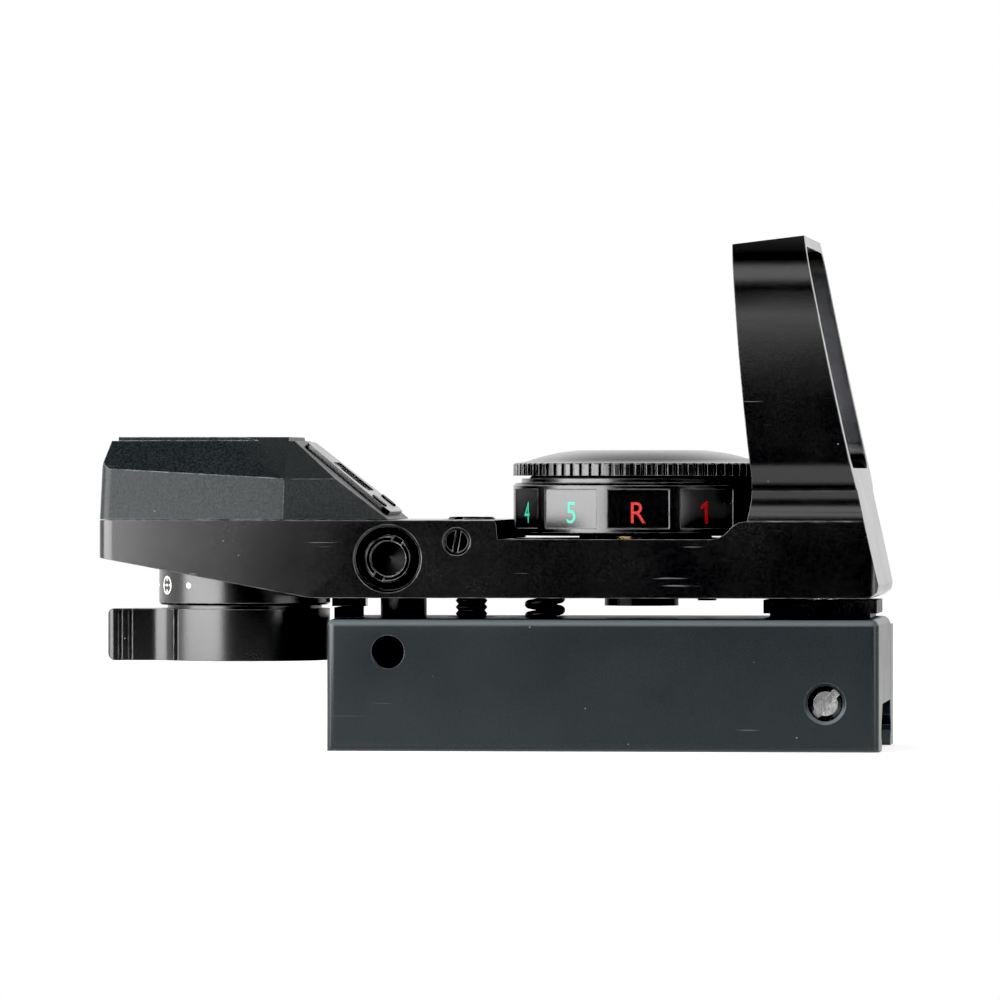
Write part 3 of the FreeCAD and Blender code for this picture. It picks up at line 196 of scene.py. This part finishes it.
class Shader(Nodes):
    """A new material and its node tree."""

    def __init__(self, name):
        self.material = bpy.data.materials.new(name)
        self.material.use_nodes = True
        super().__init__(self.material.node_tree)
        self.surface = self.tree.nodes["Principled BSDF"]
        self.place = self.node("ShaderNodeTexCoord").outputs["Object"]

    def stretched(self, factors, turn=(0, 0, 0)):
        """The shaded place, stretched and then turned."""
        mapping = self.node("ShaderNodeMapping")
        mapping.inputs["Scale"].default_value = factors
        mapping.inputs["Rotation"].default_value = turn
        self.link(self.place, mapping.inputs["Vector"])
        return mapping.outputs["Vector"]

    def noise(self, size, detail=3.0, place=None):
        """Noise whose blotches are about the given size, from 0 to 1."""
        made = self.node("ShaderNodeTexNoise")
        made.inputs["Scale"].default_value = 1.0 / size
        made.inputs["Detail"].default_value = detail
        made.inputs["Roughness"].default_value = NOISE_ROUGHNESS
        self.link(place or self.place, made.inputs["Vector"])
        return made.outputs["Fac"]

    def cells(self, size, feature="F1"):
        made = self.node("ShaderNodeTexVoronoi", feature=feature)
        made.inputs["Scale"].default_value = 1.0 / size
        self.link(self.place, made.inputs["Vector"])
        return made

    def mix(self, factor, first, second):
        made = self.node("ShaderNodeMix", data_type="RGBA")
        self.link(factor, made.inputs["Factor"])
        for socket, colour in ((made.inputs[6], first), (made.inputs[7], second)):
            if isinstance(colour, tuple):
                socket.default_value = (*colour, 1.0)
            else:
                self.link(colour, socket)
        return made.outputs[2]

    def from_axis(self, x):
        """The distance from an upright axis through the given x."""
        along, across, _ = self.split(self.place)
        offset = self.math("SUBTRACT", along, x)
        along_square = self.math("MULTIPLY", offset, offset)
        across_square = self.math("MULTIPLY", across, across)
        return self.math("SQRT", self.math("ADD", along_square, across_square))

    def all_of(self, masks):
        """1 where every mask is 1."""
        place = 1.0
        for mask in masks:
            place = self.math("MULTIPLY", mask, place)
        return place

    def band(self, value, middle, offsets):
        """1 round the middle, with the four offsets where it starts, is full, fades and ends."""
        low, low_full, high_full, high = (middle + offset for offset in offsets)
        return self.all_of([self.span(value, low, low_full), self.span(value, high, high_full)])

    def normal(self):
        return self.node("ShaderNodeNewGeometry").outputs["Normal"]

    def rounded(self, radius):
        """The normal as if the edges were rounded."""
        bevel = self.node("ShaderNodeBevel", samples=BEVEL_SAMPLES)
        bevel.inputs["Radius"].default_value = radius
        return bevel.outputs["Normal"]

    def edges(self, radius):
        """1 along sharp outside and inside edges, 0 on flat stretches."""
        turned = self.dot(self.rounded(radius))
        self.link(self.normal(), turned.inputs[1])
        return self.span(turned.outputs["Value"], 0.995, 0.9)

    def relief(self, height, depth, radius=EDGE_RADIUS):
        """Bump from a height of 0 to 1, over softly rounded edges."""
        bump = self.node("ShaderNodeBump")
        bump.inputs["Strength"].default_value = 1.0
        bump.inputs["Distance"].default_value = depth
        self.link(height, bump.inputs["Height"])
        if radius:
            self.link(self.rounded(radius), bump.inputs["Normal"])
        self.link(bump.outputs["Normal"], self.surface.inputs["Normal"])

    def finish(self, colour, rough, metallic=0.0, **constants):
        self.link(colour, self.surface.inputs["Base Color"])
        self.link(rough, self.surface.inputs["Roughness"])
        self.surface.inputs["Metallic"].default_value = metallic
        for socket, value in constants.items():
            self.surface.inputs[socket.replace("_", " ")].default_value = value
        return self.material


# ------------------------------------------------------------------ masks for the coatings
def edge_wear_and_highlight(s, strength):
    """Wear and a painted highlight along the edges, stronger in patches."""
    patch = s.span(s.noise(WEAR_AND_HIGHLIGHT_PATCH, 5.0), 0.35, 0.62, 0.1, strength)
    return s.math("MULTIPLY", s.edges(WEAR_AND_HIGHLIGHT_WIDTH), patch)


def scratches(s):
    """Fine scratches along the object's length, in a few patches."""
    line = s.noise(SCRATCH_WIDTH, 1.0, s.stretched(SCRATCH_STRETCH, SCRATCH_NOISE_TURN))
    patch = s.span(s.noise(SCRATCH_PATCH, 2.0), 0.56, 0.66, 0.0, 0.4)
    return s.math("MULTIPLY", s.span(line, 0.74, 0.78), patch)


def dust(s):
    """A speck in the middle of some of the cells."""
    cells = s.cells(SPECK_SPACING)
    chance = s.node("ShaderNodeSeparateColor")
    s.link(cells.outputs["Color"], chance.inputs["Color"])
    kept = s.math("GREATER_THAN", chance.outputs["Red"], BARE_CELLS)
    speck = s.math("MULTIPLY", s.span(cells.outputs["Distance"], 0.05, 0.03), 0.5)
    return s.math("MULTIPLY", speck, kept)


def top_edge_highlight(s, strength):
    """A painted highlight on the rounded edges between a top and the sides below it, where they face up."""
    _, _, upward = s.split(s.normal())
    return s.math("MULTIPLY", s.span(upward, 0.12, 0.45), s.span(upward, 0.95, 0.8, 0.0, strength))


def recess_wall_shade(s):
    """Painted shade on the round wall and the straight step of the recess that the dial stands in."""
    x, y, z = s.split(s.place)
    below_deck = s.span(z, DECK_Z + 0.1 * MM, DECK_Z)
    inner_half = HEAD_HALF_WIDTH - 0.15 * MM
    inside = s.span(s.math("ABSOLUTE", y), inner_half + 0.05 * MM, inner_half)
    scoop = s.band(s.from_axis(DIAL_AXIS_X), SCOOP_R, SCOOP_BAND)
    step = s.band(x, STEP_X, STEP_BAND)
    return s.math("MAXIMUM", s.all_of([scoop, below_deck]), s.all_of([step, below_deck, inside]))


def stop_pad_shade(s):
    """Painted shade on the pad that stands on the base's top, under the rear of the sight."""
    x, _, z = s.split(s.place)
    above_base = s.span(z, BASE_TOP + 0.02 * MM, BASE_TOP + 0.05 * MM)
    return s.all_of([above_base, s.span(x, PAD_LIMIT_X, PAD_LIMIT_X - 1 * MM)])


# ------------------------------------------------------------------ materials
def coating(name, dark, light, wear_and_highlight_colour, rough, grain, depth, specular, wear_and_highlight_strength, painted_shade=None, top_highlight=0.0):
    """A blasted and dyed metal surface, with its grain, wear and a painted highlight on the edges, dust and
    fine scratches.

    The painted-shade mask makes its places darker, rough and without sheen, as painted shade, and
    the top-highlight strength is how much lighter the rounded top edges are painted than the sides.
    """
    s = Shader(name)
    fine = s.noise(grain, detail=2.0)
    broad = s.noise(9 * MM, detail=4.0)
    tone = s.math("MULTIPLY", s.span(fine, 0.35, 0.75), s.span(broad, 0.2, 0.8, 0.5, 1.0))
    colour = s.mix(tone, dark, light)
    # Lighter edges: partly wear, partly a painted highlight
    colour = s.mix(edge_wear_and_highlight(s, wear_and_highlight_strength), colour, wear_and_highlight_colour)
    colour = s.mix(scratches(s), colour, wear_and_highlight_colour)
    colour = s.mix(dust(s), colour, SPECK_COLOUR)
    uneven = s.span(broad, 0.2, 0.8, rough - 0.02, rough + 0.04)
    roughness = s.math("ADD", uneven, s.span(fine, 0.3, 0.7, -0.02, 0.02))
    # Painted highlight on the rounded top edges, lighter where they face up
    if top_highlight:
        colour = s.mix(top_edge_highlight(s, top_highlight), colour, wear_and_highlight_colour)
    # Painted shade: these places are made darker, rough and without sheen
    if painted_shade:
        place = painted_shade(s)
        colour = s.mix(place, colour, dark)
        roughness = s.math("MAXIMUM", roughness, place)
        sheen = s.math("MULTIPLY", s.math("SUBTRACT", 1.0, place), specular)
        s.link(sheen, s.surface.inputs["Specular IOR Level"])
    s.relief(fine, depth)
    return s.finish(colour, roughness, Specular_IOR_Level=specular)


def metal(name, dark, light, rough, stretch, metallic=1.0):
    """A turned or drawn metal, with streaks along the way it was worked."""
    s = Shader(name)
    streak = s.noise(0.12 * MM, 3.0, s.stretched(stretch))
    stain = s.noise(1.6 * MM, 4.0)
    tone = s.math("MULTIPLY", s.span(streak, 0.3, 0.7), s.span(stain, 0.25, 0.75, 0.4, 1.0))
    s.relief(streak, 0.006 * MM, TURNED_EDGE_RADIUS)
    roughness = s.span(stain, 0.3, 0.7, rough - 0.06, rough + 0.1)
    return s.finish(s.mix(tone, dark, light), roughness, metallic)


def plastic(name, dark, light, rough, **constants):
    """A moulded part with a fine grain."""
    s = Shader(name)
    fine = s.noise(0.18 * MM, 2.0)
    broad = s.noise(4 * MM, 3.0)
    s.relief(fine, 0.006 * MM, MOULDED_EDGE_RADIUS)
    roughness = s.span(fine, 0.3, 0.7, rough - 0.05, rough + 0.08)
    return s.finish(s.mix(broad, dark, light), roughness, **constants)


def paint(name, dark, light):
    """Paint filled into a mark, a little uneven."""
    s = Shader(name)
    body = s.noise(0.3 * MM, 4.0)
    s.relief(body, 0.008 * MM, 0.0)
    tone = s.mix(s.span(body, 0.3, 0.7), dark, light)
    return s.finish(tone, s.span(body, 0.3, 0.7, 0.45, 0.6))


def glass(name, tint, smudge, index, **constants):
    """A clear element with faint smudges."""
    s = Shader(name)
    tone = s.mix(s.span(s.noise(5 * MM, 4.0), 0.3, 0.75), tint, smudge)
    roughness = s.span(s.noise(2.5 * MM, 6.0), 0.45, 0.75, 0.01, 0.07)
    return s.finish(tone, roughness, Transmission_Weight=1.0, IOR=index, **constants)


def circuit_board(name):
    """A green board with raised tracks and bright pads."""
    s = Shader(name)
    tracks = s.cells(1.1 * MM, feature="DISTANCE_TO_EDGE").outputs["Distance"]
    pads = s.cells(1.9 * MM).outputs["Distance"]
    colour = s.mix(s.span(tracks, 0.1, 0.07), (0.006, 0.075, 0.03), (0.015, 0.16, 0.06))
    colour = s.mix(s.span(pads, 0.2, 0.16), colour, (0.55, 0.5, 0.4))
    s.relief(s.span(tracks, 0.12, 0.06), 0.02 * MM, SMALL_EDGE_RADIUS)
    return s.finish(colour, s.span(s.noise(1 * MM), 0.3, 0.7, 0.3, 0.45))


BLACK_COAT = {
    "dark": (0.0003, 0.0003, 0.0004),
    "light": (0.002, 0.0021, 0.0025),
    "wear_and_highlight_colour": (0.22, 0.22, 0.22),
    "rough": 0.23,
    "grain": 0.2 * MM,
    "depth": 0.006 * MM,
    "specular": 0.6,
    "wear_and_highlight_strength": 0.85,
    # Painted shade on the walls of the dial's recess
    "painted_shade": recess_wall_shade,
}
COVER_COAT = {
    "dark": (0.003, 0.004, 0.0045),
    "light": (0.023, 0.03, 0.033),
    "wear_and_highlight_colour": (0.3, 0.32, 0.32),
    "rough": 0.4,
    "grain": 0.26 * MM,
    "depth": 0.012 * MM,
    "specular": 0.3,
    "wear_and_highlight_strength": 0.95,
}
SLATE_COAT = {
    "dark": (0.002, 0.0037, 0.0045),
    "light": (0.007, 0.0145, 0.0175),
    "wear_and_highlight_colour": (0.14, 0.16, 0.17),
    "rough": 0.34,
    "grain": 0.16 * MM,
    "depth": 0.008 * MM,
    "specular": 0.4,
    "wear_and_highlight_strength": 0.7,
    # Painted shade on the stop pad under the sight
    "painted_shade": stop_pad_shade,
    # Painted highlight on the rounded top edges
    "top_highlight": 0.6,
}
BLACK_SCREW = {
    "dark": (0.0005, 0.0005, 0.0006),
    "light": (0.003, 0.003, 0.0035),
    "wear_and_highlight_colour": (0.4, 0.4, 0.38),
    "rough": 0.3,
    "grain": 0.1 * MM,
    "depth": 0.002 * MM,
    "specular": 0.08,
    # Bright edges on the screw: wear and a painted highlight on its rims
    "wear_and_highlight_strength": 1.0,
}
LENS_FILM = {"Thin_Film_Thickness": 430.0, "Thin_Film_IOR": 1.9}
LENS_INDEX = 1.5
# The rear element is cemented to the coated one, so its own faces hardly bend light
CEMENTED_INDEX = 1.002

MATERIALS = {
    "black_coat": coating("black_coat", **BLACK_COAT),
    "cover_coat": coating("cover_coat", **COVER_COAT),
    "slate_coat": coating("slate_coat", **SLATE_COAT),
    "steel": metal("steel", (0.28, 0.28, 0.28), (0.72, 0.72, 0.71), 0.25, (1.0, 1.0, 0.1)),
    "dark_steel": metal(
        "dark_steel", (0.008, 0.008, 0.009), (0.04, 0.04, 0.042), 0.45, (1.0, 1.0, 0.2), 0.6
    ),
    "spring_steel": metal("spring_steel", (0.2, 0.2, 0.2), (0.5, 0.5, 0.49), 0.3, (1.0, 1.0, 1.0)),
    "dark_spring": metal(
        "dark_spring", (0.008, 0.008, 0.009), (0.05, 0.05, 0.05), 0.4, (1.0, 1.0, 1.0), 0.5
    ),
    "black_screw": coating("black_screw", **BLACK_SCREW),
    "brass": metal("brass", (0.3, 0.17, 0.05), (0.7, 0.5, 0.22), 0.28, (1.0, 1.0, 0.15)),
    "cell_steel": metal("cell_steel", (0.4, 0.4, 0.4), (0.78, 0.78, 0.76), 0.22, (0.1, 1.0, 1.0)),
    "nylon": plastic("nylon", (0.62, 0.6, 0.53), (0.75, 0.73, 0.66), 0.5),
    "rubber": plastic("rubber", (0.006, 0.006, 0.006), (0.018, 0.018, 0.018), 0.7),
    "black_plastic": plastic("black_plastic", (0.006, 0.006, 0.007), (0.02, 0.02, 0.02), 0.5),
    "wire_red": plastic("wire_red", (0.3, 0.012, 0.008), (0.5, 0.03, 0.02), 0.4),
    "led_resin": plastic("led_resin", (0.75, 0.68, 0.62), (0.85, 0.8, 0.76), 0.15, Transmission_Weight=0.6),
    "circuit_board": circuit_board("circuit_board"),
    "coated_glass": glass("coated_glass", (0.93, 0.95, 1.0), (0.86, 0.9, 0.95), LENS_INDEX, **LENS_FILM),
    "clear_glass": glass("clear_glass", (0.97, 0.98, 0.98), (0.93, 0.95, 0.95), CEMENTED_INDEX),
}
RED_PAINT = paint("red_paint", (0.3, 0.006, 0.008), (0.55, 0.018, 0.016))
GREEN_PAINT = paint("green_paint", (0.012, 0.3, 0.2), (0.04, 0.52, 0.36))
WHITE_PAINT = paint("white_paint", (0.68, 0.68, 0.65), (0.85, 0.85, 0.82))


# ------------------------------------------------------------------ the CAD nodes' finish
def smooth_shading():
    """Geometry nodes that shade round stretches smooth and keep edges sharp."""
    group = bpy.data.node_groups.new("smooth_shading", "GeometryNodeTree")
    for way in ("INPUT", "OUTPUT"):
        group.interface.new_socket("Geometry", in_out=way, socket_type="NodeSocketGeometry")
    start = group.nodes.new("NodeGroupInput")
    end = group.nodes.new("NodeGroupOutput")
    merge = group.nodes.new("GeometryNodeMergeByDistance")
    merge.inputs["Distance"].default_value = MERGE_DISTANCE
    faces = group.nodes.new("GeometryNodeSetShadeSmooth")
    angle = group.nodes.new("GeometryNodeInputMeshEdgeAngle")
    sharp = group.nodes.new("FunctionNodeCompare")
    sharp.operation = "GREATER_THAN"
    sharp.inputs["B"].default_value = SMOOTH_ANGLE
    edges = group.nodes.new("GeometryNodeSetShadeSmooth")
    edges.domain = "EDGE"
    edges.inputs["Shade Smooth"].default_value = False
    for source, target in (
        (start.outputs["Geometry"], merge.inputs["Geometry"]),
        (merge.outputs["Geometry"], faces.inputs["Geometry"]),
        (faces.outputs["Geometry"], edges.inputs["Geometry"]),
        (angle.outputs["Unsigned Angle"], sharp.inputs["A"]),
        (sharp.outputs["Result"], edges.inputs["Selection"]),
        (edges.outputs["Geometry"], end.inputs["Geometry"]),
    ):
        group.links.new(source, target)
    return group


def dress_cad_nodes():
    group = smooth_shading()
    for name, obj in NODES.items():
        obj.modifiers.new("smooth", "NODES").node_group = group
        obj.data.materials.clear()
        obj.data.materials.append(MATERIALS[SLOT_OF[name]])


# ------------------------------------------------------------------ painted marks
def add_piece(name, mesh, material, body):
    mesh.materials.clear()
    mesh.materials.append(material)
    obj = bpy.data.objects.new(name, mesh)
    bpy.context.scene.collection.objects.link(obj)
    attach(obj, body)
    return obj


def raise_faces(shape, depth):
    """Makes flat faces solid, upwards."""
    solid = bmesh.ops.extrude_face_region(shape, geom=shape.faces[:])
    raised = [v for v in solid["geom"] if isinstance(v, bmesh.types.BMVert)]
    bmesh.ops.translate(shape, vec=(0, 0, depth), verts=raised)


def mesh_of(shape, name):
    """Turns a bmesh into a mesh, with its faces outwards."""
    bmesh.ops.recalc_face_normals(shape, faces=shape.faces)
    mesh = bpy.data.meshes.new(name)
    shape.to_mesh(mesh)
    shape.free()
    return mesh


def letter_mesh(character, height, depth):
    """A character as a mesh in the XY plane, centred, raised along Z."""
    curve = bpy.data.curves.new("letter", "FONT")
    curve.body = character
    curve.size = height
    curve.extrude = depth / 2
    curve.resolution_u = 8
    holder = bpy.data.objects.new("letter", curve)
    bpy.context.scene.collection.objects.link(holder)
    bpy.context.view_layer.update()
    mesh = bpy.data.meshes.new_from_object(holder.evaluated_get(bpy.context.evaluated_depsgraph_get()))
    bpy.data.objects.remove(holder)
    xs = [v.co.x for v in mesh.vertices]
    ys = [v.co.y for v in mesh.vertices]
    mesh.transform(Matrix.Translation((-(min(xs) + max(xs)) / 2, -(min(ys) + max(ys)) / 2, 0)))
    mesh.transform(Matrix.Diagonal((MARK_NARROWING, 1.0, 1.0, 1.0)))
    return mesh


def numeral_one(height, depth):
    """A figure 1 with its flag, which the plain letter shape lacks."""
    shape = bmesh.new()
    corners = [(x * height, (y - 0.5) * height, -depth / 2) for x, y in ONE_OUTLINE]
    shape.faces.new([shape.verts.new(corner) for corner in corners])
    raise_faces(shape, depth)
    bmesh.ops.triangulate(shape, faces=shape.faces)
    return mesh_of(shape, "numeral_one")


def dial_marks():
    low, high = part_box("dial_spindle")
    centre = (low + high) / 2
    upright = Matrix.Rotation(math.radians(90), 4, "X")
    out = Matrix.Translation((0, -DIAL_FACE_R, MARK_Z))
    to_axis = Matrix.Translation((centre.x, centre.y, 0))
    for i, character in enumerate(DIAL_MARKS):
        if character == "1":
            mesh = numeral_one(MARK_HEIGHT * CAPITAL_PART, MARK_DEPTH)
        else:
            mesh = letter_mesh(character, MARK_HEIGHT, MARK_DEPTH)
        turn = Matrix.Rotation(DIAL_PHASE + 2 * math.pi * i / len(DIAL_MARKS), 4, "Z")
        mesh.transform(to_axis @ turn @ out @ upright)
        material = RED_PAINT if i < RED_MARKS else GREEN_PAINT
        add_piece(f"dial_mark_{i:02d}", mesh, material, "brightness_dial")


def circle_verts(shape, radius):
    angles = [2 * math.pi * i / CIRCLE_STEPS for i in range(CIRCLE_STEPS)]
    return [shape.verts.new((radius * math.cos(a), radius * math.sin(a), 0)) for a in angles]


def ring_faces(shape, outer, inner):
    """Adds a flat ring in the XY plane."""
    far = circle_verts(shape, outer)
    near = circle_verts(shape, inner)
    for i in range(CIRCLE_STEPS):
        j = (i + 1) % CIRCLE_STEPS
        shape.faces.new((far[i], far[j], near[j], near[i]))


def disc_faces(shape, radius):
    """Adds a flat disc in the XY plane."""
    rim = circle_verts(shape, radius)
    middle = shape.verts.new((0, 0, 0))
    for i in range(CIRCLE_STEPS):
        shape.faces.new((rim[i], rim[(i + 1) % CIRCLE_STEPS], middle))


def bar_faces(shape, angle, start, end, half_width):
    """Adds a flat radial bar, cut into short lengths so that it can follow a curve."""
    along = Vector((math.cos(angle), math.sin(angle), 0))
    across = Vector((-along.y, along.x, 0)) * half_width
    rows = []
    for i in range(BAR_STEPS + 1):
        middle = along * (start + (end - start) * i / BAR_STEPS)
        rows.append((shape.verts.new(middle - across), shape.verts.new(middle + across)))
    for a, b in zip(rows, rows[1:]):
        shape.faces.new((a[0], b[0], b[1], a[1]))


def icon_mesh(number):
    """The reticle marks in order: dot, ringed dot with ticks, open cross, circle with cross."""
    shape = bmesh.new()
    if number == 0:
        disc_faces(shape, ICON_DOT_R)
    if number in (1, 3):
        ring_faces(shape, ICON_R, ICON_R - ICON_STROKE)
    if number in (1, 2):
        disc_faces(shape, ICON_CENTRE_R)
    for start, end in ICON_BARS[number]:
        for quarter in range(4):
            bar_faces(shape, quarter * math.pi / 2, start * ICON_R, end * ICON_R, ICON_STROKE / 2)
    bmesh.ops.recalc_face_normals(shape, faces=shape.faces)
    raise_faces(shape, ICON_DEPTH)
    return mesh_of(shape, f"reticle_icon_{number}")


def reticle_icons():
    low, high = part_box("selector_shaft")
    centre = (low + high) / 2
    for number, degrees in enumerate(ICON_ANGLES):
        mesh = icon_mesh(number)
        for v in mesh.vertices:
            angle = -math.radians(degrees) + v.co.x / COLLAR_R
            radius = COLLAR_R - ICON_DEPTH / 3 + v.co.z
            x = centre.x + radius * math.sin(angle)
            y = centre.y - radius * math.cos(angle)
            v.co = Vector((x, y, ICON_Z + v.co.y))
        add_piece(f"reticle_icon_{number}", mesh, WHITE_PAINT, "sight_head")


# ------------------------------------------------------------------ stage, light and camera
def floor():
    mesh = bpy.data.meshes.new("floor")
    z = cad_low[2] - FLOOR_GAP
    left = -FLOOR_HALF_WIDTH
    right = FLOOR_HALF_WIDTH
    corners = [(left, FLOOR_NEAR, z), (right, FLOOR_NEAR, z), (right, FLOOR_FAR, z), (left, FLOOR_FAR, z)]
    mesh.from_pydata(corners, [], [(0, 1, 2, 3)])
    obj = bpy.data.objects.new("floor", mesh)
    bpy.context.scene.collection.objects.link(obj)
    mesh.materials.append(floor_white())


def floor_white():
    """A white board that glows a little, so that it fades into the background."""
    s = Shader("floor_white")
    grain = s.noise(3 * MM, 3.0)
    tone = s.mix(grain, (0.86, 0.86, 0.85), (0.88, 0.88, 0.87))
    roughness = s.span(grain, 0.3, 0.7, 0.75, 0.85)
    return s.finish(tone, roughness, Emission_Color=(1.0, 1.0, 1.0, 1.0), Emission_Strength=FLOOR_GLOW)


def softbox(name, place, width, height, power):
    light = bpy.data.lights.new(name, "AREA")
    light.shape = "RECTANGLE"
    light.size = width
    light.size_y = height
    light.energy = power
    obj = bpy.data.objects.new(name, light)
    obj.location = place
    obj.rotation_euler = (Vector(LIGHT_AIM) - Vector(place)).to_track_quat("-Z", "Y").to_euler()
    bpy.context.scene.collection.objects.link(obj)


def around(degrees, distance, height):
    """A place round the object; 0 degrees is the near side, positive towards the front."""
    angle = math.radians(degrees)
    return (distance * math.sin(angle), -distance * math.cos(angle), height)


def lights():
    softbox("left_box", around(-54, 0.9, 0.15), 1.0, 0.6, 21.0)
    softbox("right_box", around(62, 1.0, 0.2), 0.5, 0.5, 4.2)
    softbox("front_box", around(5, 0.85, 0.5), 0.9, 0.5, 3.2)
    softbox("top_box", (0.0, 0.1, 1.1), 1.4, 1.2, 1.0)


def tent_strength(w):
    """A white tent: dark all round the camera, a brighter back, a weaker front side and top."""
    way = w.node("ShaderNodeTexCoord").outputs["Generated"]
    facing = w.dot(way)
    facing.inputs[1].default_value = (CAMERA_AT - CAMERA_AIM).normalized()
    x, _, z = w.split(way)
    front = w.span(facing.outputs["Value"], -0.1, 0.5, 1.0, 0.1)
    back = w.span(facing.outputs["Value"], -0.3, -0.9, 0.0, 0.8)
    side = w.span(x, -0.6, 0.5, 1.1, 0.8)
    crown = w.span(z, 0.35, 0.8, 1.0, 0.2)
    return w.math("MULTIPLY", w.math("ADD", front, back), w.math("MULTIPLY", side, crown))


def world():
    """The tent lights the object, and the camera sees plain white behind it."""
    studio = bpy.data.worlds.new("studio")
    studio.use_nodes = True
    bpy.context.scene.world = studio
    w = Nodes(studio.node_tree)
    seen = w.tree.nodes["Background"]
    seen.inputs["Color"].default_value = (1.0, 1.0, 1.0, 1.0)
    seen.inputs["Strength"].default_value = 1.0
    fill = w.node("ShaderNodeBackground")
    w.link(tent_strength(w), fill.inputs["Strength"])
    mix = w.node("ShaderNodeMixShader")
    w.link(w.node("ShaderNodeLightPath").outputs["Is Camera Ray"], mix.inputs["Fac"])
    w.link(fill.outputs["Background"], mix.inputs[1])
    w.link(seen.outputs["Background"], mix.inputs[2])
    w.link(mix.outputs["Shader"], w.tree.nodes["World Output"].inputs["Surface"])


def camera():
    data = bpy.data.cameras.new("camera")
    data.lens = LENS_MM
    data.sensor_width = SENSOR_MM
    data.clip_start = CLIP_START
    obj = bpy.data.objects.new("camera", data)
    obj.location = CAMERA_AT
    obj.rotation_euler = (CAMERA_AIM - CAMERA_AT).to_track_quat("-Z", "Y").to_euler()
    bpy.context.scene.collection.objects.link(obj)
    bpy.context.scene.camera = obj


def tones():
    """Standard colours, with the blacks set a little deeper."""
    view = bpy.context.scene.view_settings
    view.view_transform = "Standard"
    view.use_curve_mapping = True
    view.curve_mapping.black_level = (BLACK_LEVEL, BLACK_LEVEL, BLACK_LEVEL)
    view.curve_mapping.update()


dress_cad_nodes()
dial_marks()
reticle_icons()
floor()
lights()
world()
camera()
tones()
